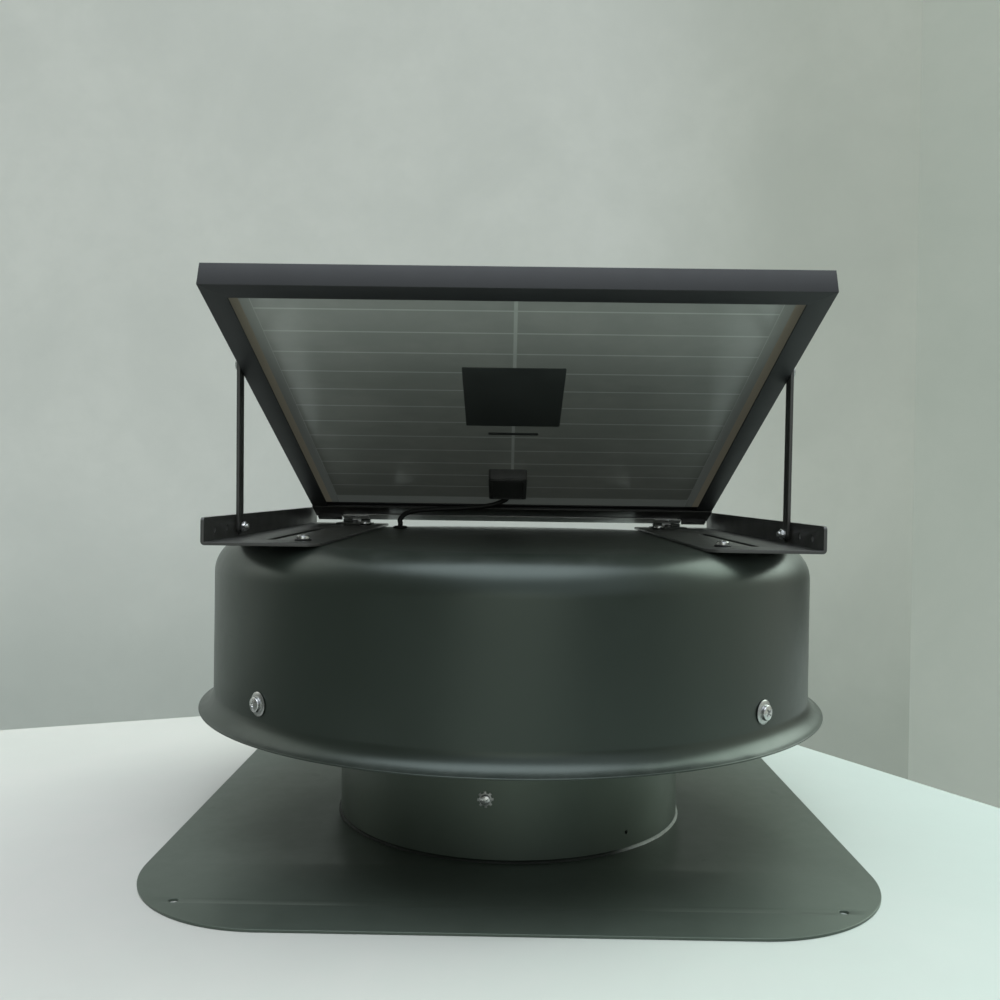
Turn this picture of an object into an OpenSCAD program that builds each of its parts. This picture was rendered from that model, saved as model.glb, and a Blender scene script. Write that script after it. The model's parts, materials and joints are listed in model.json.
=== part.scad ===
// Roof-mounted solar attic fan: a flashing and neck with a motor and fan inside, a hood on four
// arms, and a tilted solar panel hinged to two brackets on the hood. Units are millimetres.
// Origin: centre of the underside of the roof flashing. +Z is up, -Y is the side the raised edge
// of the panel faces, +X is to the right when looking along +Y. The panel hinges on a line
// parallel to X at the +Y side. "Front" is -Y and "rear" is +Y.

/* [Roof flashing] */
// Side of the square flashing plate
flashing_w = 560; // [480:5:640]
// Corner radius of the flashing plate
flashing_corner_r = 112; // [60:1:150]
// Thickness of the flashing plate
flashing_t = 2; // [1:0.1:4]
// Spacing of the corner fixing holes, both ways
fix_pitch = 472; // [420:1:500]
// Diameter of the corner fixing holes
fix_hole_d = 6.5; // [4:0.1:9]

/* [Neck] */
// Outside diameter of the neck collar
neck_od = 310; // [300:1:330]
// Wall thickness of the neck collar
neck_wall = 1.5; // [1:0.1:3]
// Height of the neck collar above the roof
neck_h = 165; // [150:1:175]

/* [Hood] */
// Outside diameter of the hood wall
hood_od = 535; // [500:1:535]
// Outside diameter over the turned-out brim
hood_brim_od = 560; // [560:1:600]
// Height of the underside of the turned-out brim
hood_brim_z = 103.3; // [90:0.5:120]
// Height of the flat hood top
hood_top_z = 251; // [240:1:270]
// Radius of the hood shoulder
shoulder_r = 30; // [20:1:40]
// Hood sheet thickness
hood_wall = 1.5; // [1:0.1:2.5]

/* [Panel] */
// Width of the panel along the hinge line
panel_w = 450; // [400:1:480]
// Length of the panel square to the hinge line
panel_l = 482; // [440:1:520]
// Depth of the panel frame
panel_t = 18; // [17:0.5:25]
// Width of the flange around the underside of the frame
rail_flange = 17.5; // [12:0.5:22]
// Tilt of the panel from level
tilt = 21; // [15:0.5:35]
// Rows of cells
cell_rows = 13; // [8:1:18]

/* [Brackets and struts] */
// Length of each bracket forward of the centre line
bracket_front = 202; // [180:1:220]
// Length of each bracket behind the centre line
bracket_rear = 232; // [225:1:240]
// Height of the upright leg of each bracket
bracket_leg_h = 20.5; // [16:0.5:30]
// Width of each strut bar
strut_w = 14; // [10:0.5:18]

/* [Fan] */
// Tip diameter of the fan
fan_d = 292; // [260:1:300]
// Number of blades
blade_count = 5; // [3:1:7]
// Pitch of the blades from flat
blade_pitch = 24; // [15:1:35]

/* [Hidden] */
$fn = 96;

// Fits and fasteners shared between sections
gap = 0.05;                           // clearance between neighbouring pieces
screw_r = 2.5;                        // shank of the common screws
screw_hole_r = 2.6;                   // clearance hole for them

// Neck, hood and the arms between them
neck_r = neck_od / 2;
neck_inner_r = neck_r - neck_wall;
hood_r = hood_od / 2;
neck_screw_angles = [-96.8, 23.2, 143.2];
neck_screw_z = 51.5;
arm_angles = [45 : 90 : 315];
arm_z = 118;
arm_rivet_z = arm_z + 22;
hood_screw_z = 131.5;
hood_screw_hole_r = 3.05;
grommet = [-122, 159];                // x, y of the cable hole in the hood top
bracket_fix = [162, 165];             // x, y of the bracket screws, each way from centre

// Brackets and struts
bracket_t = 2.5;
shelf_z = hood_top_z + bracket_t;     // top face of the flat bracket leg
leg_in = panel_w / 2 + 3;             // inner face of the upright bracket leg
leg_out = leg_in + bracket_t;
lower_pivot = [-108, 261.5];          // y, z of the strut bolt on the bracket
strut_in = panel_w / 2 + 0.35;        // inner face of the strut bars
strut_t = 2.6;

// Hinge
knuckle_r = 2.6;
hinge_x = 179;                        // hinge centre, each side
hinge_y = 220;
hinge_z = shelf_z + knuckle_r;        // pin centre

// Positions in the panel frame, measured from the pin (see on_panel)
frame_y = 7.5;                        // rear edge of the frame
frame_z = 5;                          // underside of the frame
hinge_rivet_y = 11.5;
hinge_rivet_hole_r = 1.65;
upper_pivot = [358.9, 11.35];         // y, z of the strut bolt on the frame
rail_t = 1.6;
rail_foot_t = 1.5;
rail_lip_h = 11.2;                    // underside of the lip that carries the laminate
rail_lip_t = 1.5;
laminate_z = frame_z + rail_lip_h + rail_lip_t;

// Colours used by more than one node
roof_grey = [0.2, 0.22, 0.21];
dull_silver = [0.75, 0.75, 0.74];
bright_silver = [0.78, 0.78, 0.77];
washer_silver = [0.72, 0.72, 0.71];
shaft_silver = [0.75, 0.76, 0.77];
hinge_silver = [0.8, 0.8, 0.79];
clip_silver = [0.7, 0.7, 0.69];
cable_black = [0.08, 0.08, 0.08];
bracket_black = [0.12, 0.12, 0.12];
frame_black = [0.1, 0.1, 0.1];
label_black = [0.1, 0.11, 0.1];

// ---------- placing ----------

// panel frame: x along the hinge, y up the slope from the pin, z square to the panel
module on_panel()
  translate([0, hinge_y, hinge_z]) rotate([-tilt, 0, 0]) mirror([0, 1, 0]) children();

module turned(angles) for (a = angles) rotate([0, 0, a]) children();

// the child's +Z is laid along +X
module along_x(origin) translate(origin) rotate([0, 90, 0]) children();

module both_sides() for (side = [0, 1]) mirror([side, 0, 0]) children();

// copies at plus and minus offset, both ways
module at_four(offset, z)
  for (i = [-1, 1], j = [-1, 1]) translate([i * offset[0], j * offset[1], z]) children();

module at_hinges(y, z) for (side = [-1, 1]) translate([side * hinge_x, y, z]) children();

// ---------- shapes ----------

module ring(outer_r, inner_r, h) difference() {
  cylinder(r = outer_r, h = h);
  translate([0, 0, -1]) cylinder(r = inner_r, h = h + 2);
}

// rectangle between two opposite corners, with rounded corners
module rounded_rect(low, high, r) {
  size = high - low;
  translate([low[0] + r, low[1]]) square([size[0] - 2 * r, size[1]]);
  translate([low[0], low[1] + r]) square([size[0], size[1] - 2 * r]);
  for (x = [low[0] + r, high[0] - r], y = [low[1] + r, high[1] - r]) translate([x, y]) circle(r = r);
}

// domed head with a cross recess on +Z from z = 0, shank going down
module pan_screw(head_r, head_h, shank_r, shank_l) {
  dome_r = 1.35 * head_r;
  difference() {
    union() {
      intersection() {
        translate([0, 0, head_h - dome_r]) sphere(r = dome_r);
        cylinder(r = head_r, h = head_h + 1);
      }
      translate([0, 0, -shank_l]) cylinder(r = shank_r, h = shank_l + 0.1);
    }
    translate([0, 0, head_h + 0.5]) turned([45, 135])
      cube([head_r * 0.95, head_r * 0.2, head_h * 1.2], center = true);
  }
}

module hex_nut(across_flats, h, bore_r) difference() {
  cylinder(r = across_flats / 2 / cos(30), h = h, $fn = 6);
  translate([0, 0, -1]) cylinder(r = bore_r, h = h + 2);
}

// ---------- roof side ----------

// section of the bead: out from the neck wall, up from the flashing
seam_bead_profile = [[gap, 0], [2.1, 0], [2.1, 0.4], [1.5, 1.4], [0.4, 2], [gap, 2]];

// radial cutter through the neck wall
module neck_hole(z, r) along_x([neck_r - 5, 0, z]) cylinder(r = r, h = 10);

module flashing() color(roof_grey) difference() {
  half = flashing_w / 2;
  linear_extrude(flashing_t) rounded_rect([-half, -half], [half, half], flashing_corner_r);
  translate([0, 0, -1]) cylinder(r = neck_r + gap, h = flashing_t + 2);
  at_four([fix_pitch / 2, fix_pitch / 2], -1) cylinder(d = fix_hole_d, h = flashing_t + 2);
}

module neck_collar() color(roof_grey) difference() {
  ring(neck_r, neck_inner_r, neck_h);
  turned(neck_screw_angles) neck_hole(neck_screw_z, screw_hole_r);
  turned(arm_angles) neck_hole(arm_rivet_z, screw_hole_r);
  // single small hole low in the wall
  rotate([0, 0, -51.5]) neck_hole(16.5, 1.6);
}

module neck_seam_bead() color([0.55, 0.57, 0.55]) translate([0, 0, flashing_t]) rotate_extrude()
  polygon([for (p = seam_bead_profile) [neck_r + p[0], p[1]]]);

// ---------- hood ----------

arm_in = neck_r + gap;
arm_out = hood_r - 2;
arm_w = 24;
arm_t = 3;
arm_tab_t = 2.5;
hood_washer_t = 1.5;

function arc(centre, r, start, end, steps) = [for (i = [0 : steps])
  let (a = start + (end - start) * i / steps) [centre[0] + r * cos(a), centre[1] + r * sin(a)]];

// The wall runs down from the shoulder, bends outwards and slopes down at 15 degrees
// to a rounded brim edge.
module hood_shell() color(roof_grey) {
  bend_r = 15.5;
  edge_r = hood_wall / 2;
  mid_r = bend_r + edge_r;            // bend radius at mid thickness
  shoulder = [hood_r - shoulder_r, hood_top_z - shoulder_r];
  bend = [hood_r + bend_r, hood_brim_z + 16.57];
  edge_x = hood_brim_od / 2 - edge_r;
  slope_x = bend[0] + mid_r * cos(255);
  edge = [edge_x, bend[1] + mid_r * sin(255) - (edge_x - slope_x) * tan(15)];
  difference() {
    rotate_extrude() polygon(concat(
      [[0, hood_top_z]],
      arc(shoulder, shoulder_r, 90, 0, 14),
      arc(bend, bend_r, 180, 255, 10),
      arc(edge, edge_r, 75, -105, 8),
      arc(bend, bend_r + hood_wall, 255, 180, 10),
      arc(shoulder, shoulder_r - hood_wall, 0, 90, 14),
      [[0, hood_top_z - hood_wall]]));
    turned(arm_angles) along_x([hood_r - 8, 0, hood_screw_z]) cylinder(r = hood_screw_hole_r, h = 16);
    translate([grommet[0], grommet[1], hood_top_z - 10]) cylinder(r = 5.5, h = 20);
    at_four(bracket_fix, hood_top_z - 10) cylinder(r = screw_hole_r, h = 20);
  }
}

// flat arms with an upturned tab at each end
module hood_support_arms() color([0.55, 0.57, 0.58]) turned(arm_angles) difference() {
  union() {
    translate([arm_in, -arm_w / 2, arm_z]) cube([arm_out - arm_in, arm_w, arm_t]);
    translate([arm_in, -arm_w / 2, arm_z]) cube([arm_tab_t, arm_w, 32]);
    translate([arm_out - arm_tab_t, -arm_w / 2, arm_z]) cube([arm_tab_t, arm_w, 25]);
  }
  along_x([neck_r - 1, 0, arm_rivet_z]) cylinder(r = screw_hole_r, h = 10);
  along_x([hood_r - 6, 0, hood_screw_z]) cylinder(r = hood_screw_hole_r, h = 10);
}

module support_arm_rivets() color(dull_silver) turned(arm_angles)
  along_x([arm_in + arm_tab_t, 0, arm_rivet_z]) {
    pan_screw(head_r = 4.5, head_h = 2.4, shank_r = screw_r, shank_l = 7);
    translate([0, 0, -arm_tab_t - 2 * gap - neck_wall]) mirror([0, 0, 1]) hex_nut(7, 2.6, screw_r);
  }

module hood_screws() color(bright_silver) turned(arm_angles)
  along_x([hood_r + 1.8, 0, hood_screw_z])
    pan_screw(head_r = 6, head_h = 3.6, shank_r = 2.95, shank_l = 13.2);

module hood_screw_washers() color(washer_silver) turned(arm_angles)
  along_x([hood_r + 0.28, 0, hood_screw_z]) ring(9.3, hood_screw_hole_r, hood_washer_t);

module hood_screw_nuts() color(washer_silver) turned(arm_angles)
  translate([arm_out - arm_tab_t - gap, 0, hood_screw_z]) rotate([0, -90, 0]) hex_nut(10, 5, 2.96);

// ---------- neck screws ----------

star_washer_t = 0.9;

// each screw carries its nut inside the neck
module neck_screws() color(bright_silver) turned(neck_screw_angles)
  along_x([neck_r + gap + star_washer_t, 0, neck_screw_z]) {
    pan_screw(head_r = 4.2, head_h = 2.8, shank_r = screw_r, shank_l = 8.5);
    translate([0, 0, -neck_wall - 4.15]) mirror([0, 0, 1]) hex_nut(8, 3, screw_r);
  }

module neck_star_washers() color(washer_silver) turned(neck_screw_angles)
  along_x([neck_r + gap, 0, neck_screw_z]) difference() {
    union() {
      cylinder(r = 5.2, h = star_washer_t);
      // each bar makes two opposite teeth
      turned([0 : 45 : 135]) translate([-6.6, -1.1, 0]) cube([13.2, 2.2, star_washer_t]);
    }
    translate([0, 0, -1]) cylinder(r = screw_hole_r, h = 3);
  }

// ---------- motor ----------

mount_z = 60;
mount_t = 3;
mount_arm_w = 20;
mount_arm_x = 40;                     // inner end of each mount arm
housing_z = mount_z + mount_t;
housing_h = 56;
housing_r = 46;
cap_z = housing_z + housing_h;
core_z = mount_z + 14.5;              // underside of the stator and rotor
bearing_seat_r = 11;
shaft_r = 4;
shaft_z = 12.5;
shaft_bore_r = 4.02;
motor_screw_x = 34;
motor_screw_angles = [0 : 90 : 270];
motor_cable_xy = [-18, 23.5];

// disc with an arm and a downturned tab at each neck screw
module motor_mount() color([0.5, 0.52, 0.53]) difference() {
  union() {
    translate([0, 0, mount_z]) cylinder(r = 56, h = mount_t);
    turned(neck_screw_angles) {
      translate([mount_arm_x, -mount_arm_w / 2, mount_z])
        cube([neck_inner_r - 0.4 - mount_arm_x, mount_arm_w, mount_t]);
      translate([neck_inner_r - 2.9, -mount_arm_w / 2, mount_z - 18]) cube([2.5, mount_arm_w, 19]);
    }
  }
  translate([0, 0, mount_z - 1]) cylinder(r = 13, h = 5);
  turned(motor_screw_angles) translate([motor_screw_x, 0, mount_z - 1]) cylinder(r = screw_hole_r, h = 5);
  turned(neck_screw_angles)
    along_x([neck_inner_r - 5, 0, neck_screw_z]) cylinder(r = screw_hole_r, h = 10);
}

// cup with a 4 mm floor and upright cooling fins
module motor_housing() color([0.3, 0.31, 0.32]) difference() {
  union() {
    translate([0, 0, housing_z]) cylinder(r = housing_r, h = housing_h);
    turned([0 : 15 : 345]) translate([45, -1, mount_z + 12]) cube([4.5, 2, 38]);
  }
  translate([0, 0, housing_z + 4]) cylinder(r = housing_r - 3, h = 60);
  translate([0, 0, mount_z]) cylinder(r = bearing_seat_r, h = 20);
  turned(motor_screw_angles) translate([motor_screw_x, 0, mount_z]) cylinder(r = screw_hole_r, h = 20);
}

module motor_end_cap() color([0.36, 0.37, 0.38]) difference() {
  translate([0, 0, cap_z]) union() {
    cylinder(r = housing_r, h = 4);
    translate([0, 0, -8]) cylinder(r = 15, h = 9);
  }
  translate([0, 0, mount_z + 40]) cylinder(r = bearing_seat_r, h = 20);
  translate([motor_cable_xy[0], motor_cable_xy[1], mount_z + 50]) cylinder(r = 2.9, h = 30);
}

module motor_stator() color([0.7, 0.42, 0.2]) translate([0, 0, core_z]) difference() {
  cylinder(r = 42.9, h = 34);
  translate([0, 0, -1]) cylinder(r = 24.5, h = 38);
  turned([0 : 30 : 330]) translate([31, 0, -1]) cylinder(r = 4.5, h = 38);
}

module motor_rotor() color([0.35, 0.35, 0.37])
  translate([0, 0, core_z]) ring(23.8, shaft_bore_r, 33);

module motor_bearings() color(shaft_silver)
  for (z = [3.1, 52.9]) translate([0, 0, mount_z + z]) ring(bearing_seat_r - 0.03, shaft_r + gap, 7);

// heads under the mount, nuts inside the housing
module motor_fixing_screws() color(dull_silver) turned(motor_screw_angles)
  translate([motor_screw_x, 0, mount_z]) rotate([180, 0, 0]) {
    pan_screw(head_r = 4.5, head_h = 3, shank_r = screw_r, shank_l = 10.5);
    translate([0, 0, -10.1]) hex_nut(8, 3, screw_r);
  }

module motor_shaft() color(shaft_silver)
  translate([0, 0, shaft_z]) cylinder(r = shaft_r, h = mount_z + 58 - shaft_z);

// ---------- fan ----------

fan_z = 31;                           // mid height of hub and blades
hub_r = 26;
hub_h = 24;
hub_gap = 0.02;                       // between hub and blade roots
blade_t = 1.6;
blade_curve_r = 84;                   // upper face of the curved blade sheet
blade_curve_z = -78;                  // axis of that curve, from fan_z

// plan of one blade: x out from the fan axis, y across the blade
blade_outline = [[15, -13], [60, -27], [160, -41], [160, 33], [60, 22], [15, 13]];

// hollow underneath, with a boss around the shaft
module fan_hub() color([0.24, 0.25, 0.26]) translate([0, 0, fan_z - hub_h / 2]) difference() {
  union() {
    cylinder(r = hub_r, h = hub_h);
    translate([0, 0, hub_h - 1]) cylinder(r = 10, h = 3.5);
  }
  translate([0, 0, -1]) cylinder(r = shaft_bore_r, h = 40);
  translate([0, 0, -0.01]) difference() {
    cylinder(r = hub_r - 3, h = 19);
    translate([0, 0, -1]) cylinder(r = 9, h = 21);
  }
}

// part of a tube lying along X, cut to the blade outline
module flat_blade() intersection() {
  along_x([10, 0, blade_curve_z]) difference() {
    cylinder(r = blade_curve_r, h = 145);
    translate([0, 0, -1]) cylinder(r = blade_curve_r - blade_t, h = 147);
  }
  linear_extrude(60, center = true) intersection() {
    polygon(blade_outline);
    circle(r = fan_d / 2 + 4);
  }
}

// pitched blades, trimmed to the fan diameter and the hub
module fan_blades() color([0.62, 0.64, 0.65])
  for (i = [0 : blade_count - 1]) rotate([0, 0, i * 360 / blade_count + 18]) intersection() {
    difference() {
      translate([0, 0, fan_z - 30]) cylinder(r = fan_d / 2, h = 60);
      translate([0, 0, fan_z - 31]) cylinder(r = hub_r + hub_gap, h = 62);
    }
    translate([0, 0, fan_z]) rotate([blade_pitch, 0, 0]) flat_blade();
  }

module fan_lock_nut() color(dull_silver) translate([0, 0, 13.2]) hex_nut(13, 5.7, shaft_bore_r);

// ---------- inlet guard ----------

guard_z = 6.2;
guard_wire_r = 1.2;
guard_rim_wire_r = 1.4;
guard_rim_r = neck_inner_r - 1.5;

module wire_ring(r, wire_r) rotate_extrude() translate([r, guard_z]) circle(r = wire_r, $fn = 24);

// rings, rim and the spokes under them
module inlet_guard() color([0.6, 0.61, 0.62]) {
  for (r = [24 : 21.4 : 131]) wire_ring(r, guard_wire_r);
  wire_ring(guard_rim_r, guard_rim_wire_r);
  turned([30 : 60 : 330]) along_x([23.5, 0, guard_z - 1.5])
    cylinder(r = guard_wire_r, h = neck_inner_r - 25.4, $fn = 24);
}

module guard_clips() color(clip_silver) turned([0 : 120 : 240]) difference() {
  translate([neck_inner_r - 6, -6, 2.5]) cube([5.8, 12, 8]);
  rotate_extrude() translate([guard_rim_r, guard_z]) circle(r = guard_rim_wire_r + 0.02, $fn = 24);
}

// ---------- cables ----------

cable_r = 2.75;
cable_join = [grommet[0], grommet[1], 256.5];   // where the two runs meet

// x, y, z along each run
motor_cable_path = [
  [motor_cable_xy[0], motor_cable_xy[1], mount_z + 56],
  [motor_cable_xy[0], motor_cable_xy[1], 136],
  [-30, 39, 158], [-58, 75, 186], [-95, 124, 212], [-116, 151, 230],
  [grommet[0], grommet[1], 243], cable_join];
panel_cable_path = [cable_join,
  [-122, 159.5, 261], [-114, 166, 268], [-90, 174, 271.5], [-55, 178, 273.5],
  [-24, 176, 277], [-8, 173, 283], [-6, 171.48, 285.97], [-6, 166.06, 288.05]];

// straight lengths with a slightly larger ball at each bend
module cable(path) for (i = [0 : len(path) - 2]) {
  run = path[i + 1] - path[i];
  length = norm(run);
  translate(path[i]) rotate([0, acos(run[2] / length), atan2(run[1], run[0])])
    cylinder(r = cable_r, h = length, $fn = 64);
  if (i > 0) translate(path[i]) sphere(r = cable_r + 0.06, $fn = 64);
}

module motor_cable() color(cable_black) cable(motor_cable_path);
module panel_cable() color(cable_black) cable(panel_cable_path);

module cable_grommet() color([0.06, 0.06, 0.06]) translate([grommet[0], grommet[1], 0]) {
  flange_t = 2.6;
  under_z = hood_top_z - hood_wall;
  difference() {
    union() {
      translate([0, 0, under_z]) cylinder(r = 5.45, h = hood_wall);
      for (z = [hood_top_z, under_z - flange_t]) translate([0, 0, z]) cylinder(r = 8, h = flange_t);
    }
    translate([0, 0, hood_top_z - 10]) cylinder(r = 2.8, h = 20);
  }
}

// ---------- brackets ----------

foot_in = 142.5;                      // inner edge of the flat bracket leg
foot_corner_r = 12;
pivot_hole_pitch = 33;

// angle section along Y: flat leg on the hood, upright leg at the outer edge
module bracket(side) color(bracket_black) mirror([side, 0, 0]) difference() {
  length = bracket_front + bracket_rear;
  corner_x = foot_in + foot_corner_r;
  union() {
    translate([0, 0, hood_top_z]) linear_extrude(bracket_t) {
      translate([corner_x, -bracket_front]) square([leg_out - corner_x, length]);
      translate([foot_in, -bracket_front + foot_corner_r])
        square([foot_corner_r + 1, length - 2 * foot_corner_r]);
      for (y = [-bracket_front + foot_corner_r, bracket_rear - foot_corner_r])
        translate([corner_x, y]) circle(r = foot_corner_r);
    }
    translate([leg_out, 0, 0]) rotate([0, -90, 0]) linear_extrude(bracket_t)
      rounded_rect([hood_top_z, -bracket_front], [hood_top_z + bracket_leg_h, bracket_rear], 3);
  }
  // long slot in the flat leg
  translate([0, 0, hood_top_z - 1]) linear_extrude(bracket_t + 2)
    rounded_rect([186, -158], [193, 60], 3.4);
  for (y = [-bracket_fix[1], bracket_fix[1]])
    translate([bracket_fix[0], y, hood_top_z - 1]) cylinder(r = screw_hole_r, h = 6);
  translate([hinge_x, hinge_screw_y, hood_top_z - 1]) cylinder(r = hinge_screw_hole_r, h = 6);
  // row of strut holes, the strut uses the rearmost
  for (i = [0 : 2])
    along_x([leg_in - 1, lower_pivot[0] - i * pivot_hole_pitch, lower_pivot[1]])
      cylinder(r = screw_hole_r, h = 6);
}
module bracket_right() bracket(0);
module bracket_left() bracket(1);

module bracket_screws() color(bright_silver) at_four(bracket_fix, shelf_z + 1.5 + gap)
  pan_screw(head_r = 5, head_h = 3.2, shank_r = screw_r, shank_l = 9.5);

module bracket_sealing_washers() color(frame_black) at_four(bracket_fix, shelf_z)
  ring(6.5, screw_r + gap, 1.5);

module bracket_nuts() color(washer_silver) at_four(bracket_fix, hood_top_z - hood_wall - 4 - gap)
  hex_nut(8, 4, 2.51);

// ---------- hinges ----------

leaf_t = 1.3;
hinge_screw_y = 203;
hinge_screw_hole_r = 2.1;
upper_leaf_z = 1.4;
pin_l = 31.6;
pin_end_t = 0.7;
hinge_rail_y = frame_y - 1.9;
hinge_rail_z = 3.6;

// flat leaf with two knuckles
module hinge_lower_leaves() color([0.3, 0.31, 0.31]) both_sides() difference() {
  union() {
    translate([hinge_x - 20, 192, shelf_z]) cube([40, 25, leaf_t]);
    for (x = [hinge_x - 15, hinge_x + 5.2]) {
      translate([x, hinge_y - 4, shelf_z]) cube([9.8, 4, leaf_t]);
      along_x([x, hinge_y, hinge_z]) cylinder(r = knuckle_r, h = 9.8);
    }
  }
  along_x([hinge_x - 21, hinge_y, hinge_z]) cylinder(r = 1.53, h = 42);
  translate([hinge_x, hinge_screw_y, shelf_z - 1]) cylinder(r = hinge_screw_hole_r, h = 4);
}

module hinge_lower_screws() color(hinge_silver) at_hinges(hinge_screw_y, shelf_z + leaf_t + gap)
  pan_screw(head_r = 4.6, head_h = 2.8, shank_r = 2, shank_l = 9.5);

module hinge_lower_nuts() color(washer_silver) at_hinges(hinge_screw_y, hood_top_z - 3.25)
  hex_nut(7, 3.2, 2.01);

module hinge_pins() color(bright_silver) at_hinges(hinge_y, hinge_z)
  along_x([-pin_l / 2, 0, 0]) union() {
    cylinder(r = 1.5, h = pin_l);
    for (z = [0, pin_l - pin_end_t]) translate([0, 0, z]) cylinder(r = 2.3, h = pin_end_t);
  }

// leaf with one middle knuckle
module hinge_upper_leaves() color(hinge_silver) on_panel() both_sides() difference() {
  union() {
    translate([hinge_x - 15, 2.9, upper_leaf_z]) cube([30, 11.1, leaf_t]);
    translate([hinge_x - 4.95, 1.2, upper_leaf_z]) cube([9.9, 2, leaf_t]);
    along_x([hinge_x - 4.95, 0, 0]) cylinder(r = knuckle_r, h = 9.9);
  }
  along_x([hinge_x - 8, 0, 0]) cylinder(r = 1.56, h = 16);
  translate([hinge_x, hinge_rivet_y, 0]) cylinder(r = hinge_rivet_hole_r, h = 4);
}

module hinge_upper_rivets() color(hinge_silver) on_panel() at_hinges(hinge_rivet_y, 0) {
  top_z = frame_z + rail_foot_t + gap;
  translate([0, 0, 0.4]) cylinder(r = 2.4, h = 0.95);
  translate([0, 0, 0.5]) cylinder(r = 1.6, h = top_z - 0.5);
  translate([0, 0, top_z]) cylinder(r = 2.2, h = 0.9);
}

module hinge_strip() color([0.5, 0.51, 0.51]) on_panel() difference() {
  translate([-190, -2.4, upper_leaf_z + leaf_t + gap]) cube([380, 16.6, 0.83]);
  at_hinges(hinge_rivet_y, 0) cylinder(r = hinge_rivet_hole_r, h = 5);
}

// angle under and behind the rear edge of the frame
module hinge_rail() color(bracket_black) on_panel() difference() {
  union() {
    translate([-panel_w / 2, hinge_rail_y, hinge_rail_z])
      cube([panel_w, 31, frame_z - hinge_rail_z - 0.02]);
    translate([-panel_w / 2, hinge_rail_y, hinge_rail_z]) cube([panel_w, 1.88, 17]);
    // packing pad outboard of each hinge
    for (x = [-222, 195]) translate([x, hinge_rail_y, -0.6]) cube([27, 8.4, 4.6]);
  }
  at_hinges(hinge_rivet_y, 0) cylinder(r = hinge_rivet_hole_r, h = 6);
}

// ---------- panel frame ----------

// cross section of a frame rail: x is inwards from the outer face, y is up from the underside
module rail_section() {
  square([rail_t, panel_t]);
  square([rail_flange, rail_foot_t]);
  translate([0, rail_lip_h]) square([8, rail_lip_t]);
  translate([0, panel_t - 1.1]) square([7, 1.1]);
}

// straight rail centred on x, outer face on y = 0, underside on z = 0
module rail_bar(length)
  translate([length / 2, 0, 0]) rotate([90, 0, -90]) linear_extrude(length) mirror([1, 0]) rail_section();

// full-width rail with a short return closing each end
module end_rail() {
  rail_bar(panel_w);
  for (side = [-1, 1])
    translate([side * panel_w / 2, rail_flange / 2, 0]) rotate([0, 0, side * 90]) rail_bar(rail_flange);
}

module panel_rail_rear() color(frame_black) on_panel() difference() {
  translate([0, frame_y, frame_z]) end_rail();
  at_hinges(hinge_rivet_y, frame_z - 2) cylinder(r = hinge_rivet_hole_r, h = 6);
}

module panel_rail_front() color(frame_black) on_panel()
  translate([0, frame_y + panel_l, frame_z]) mirror([0, 1, 0]) end_rail();

module side_rail(side) color(frame_black) on_panel() difference() {
  translate([side * panel_w / 2, frame_y + panel_l / 2, frame_z]) rotate([0, 0, side * 90])
    rail_bar(panel_l - 2 * rail_flange - 0.04);
  translate([side * (panel_w / 2 - 5), upper_pivot[0], upper_pivot[1]]) rotate([0, side * 90, 0])
    cylinder(r = screw_r + gap, h = 10);
}
module panel_rail_left() side_rail(-1);
module panel_rail_right() side_rail(1);

// ---------- laminate ----------

laminate_inset = 2;
cell = [195.7, 31.6, 0.3];
cell_pitch = 33.43;
cell_start_y = 37.2;
box_hole = [-4.5, 92];                // x, y of the hole from junction box to laminate

// full-size sheet whose underside is z above the laminate seat
module sheet(z, thickness) translate([-panel_w / 2 + laminate_inset, frame_y + laminate_inset, laminate_z + z])
  cube([panel_w - 2 * laminate_inset, panel_l - 2 * laminate_inset, thickness]);

module backsheet() color([0.8, 0.82, 0.8]) on_panel() difference() {
  sheet(0, 0.4);
  translate([box_hole[0], box_hole[1], laminate_z - 1]) cylinder(r = 2, h = 3);
}

// two half-width cells in each row
module solar_cells() color([0.06, 0.08, 0.16]) on_panel()
  for (i = [0 : cell_rows - 1], x = [-198, 2.3])
    translate([x, cell_start_y + i * cell_pitch, laminate_z + 0.42]) cube(cell);

module panel_glass() color([0.75, 0.82, 0.85, 0.5]) on_panel() sheet(0.75, 3.2);

module label_plate() color(label_black) on_panel()
  translate([-44.5, 231, laminate_z - 0.45]) linear_extrude(0.43) rounded_rect([0, 0], [88, 116.5], 1.5);

module label_strip() color(label_black) on_panel()
  translate([-24, 210, laminate_z - 0.3]) cube([48, 5.2, 0.28]);

// ---------- junction box ----------

box_size = [40.5, 60];
box_wall = 2;
lid_rim_wall = 1.4;

// places children inset from the box corner, at a depth below the laminate
module on_box(inset, depth) translate([-25 + inset, 62 + inset, laminate_z - depth]) children();

module inset_rect(inset, r) rounded_rect([0, 0], box_size - 2 * [inset, inset], r);

module junction_box() color([0.07, 0.07, 0.07]) on_panel() difference() {
  on_box(0, 10.02) linear_extrude(10) inset_rect(0, 3);
  on_box(box_wall, 11) linear_extrude(9) inset_rect(box_wall, 1.5);
  translate([box_hole[0], box_hole[1], laminate_z - 4]) cylinder(r = 2, h = 6);
}

// flat lid with a rim that enters the box
module junction_box_lid() color([0.09, 0.09, 0.09]) on_panel() {
  rim_inset = box_wall + 0.1;
  on_box(0, 12.22) linear_extrude(2.2) inset_rect(0, 3);
  on_box(rim_inset, 10.1) linear_extrude(2.5) difference() {
    inset_rect(rim_inset, 1.4);
    translate([lid_rim_wall, lid_rim_wall]) square([33.5, 53]);
  }
}

// ---------- struts ----------

strut_nut_h = 4;
strut_slot_w = 5.5;

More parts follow.
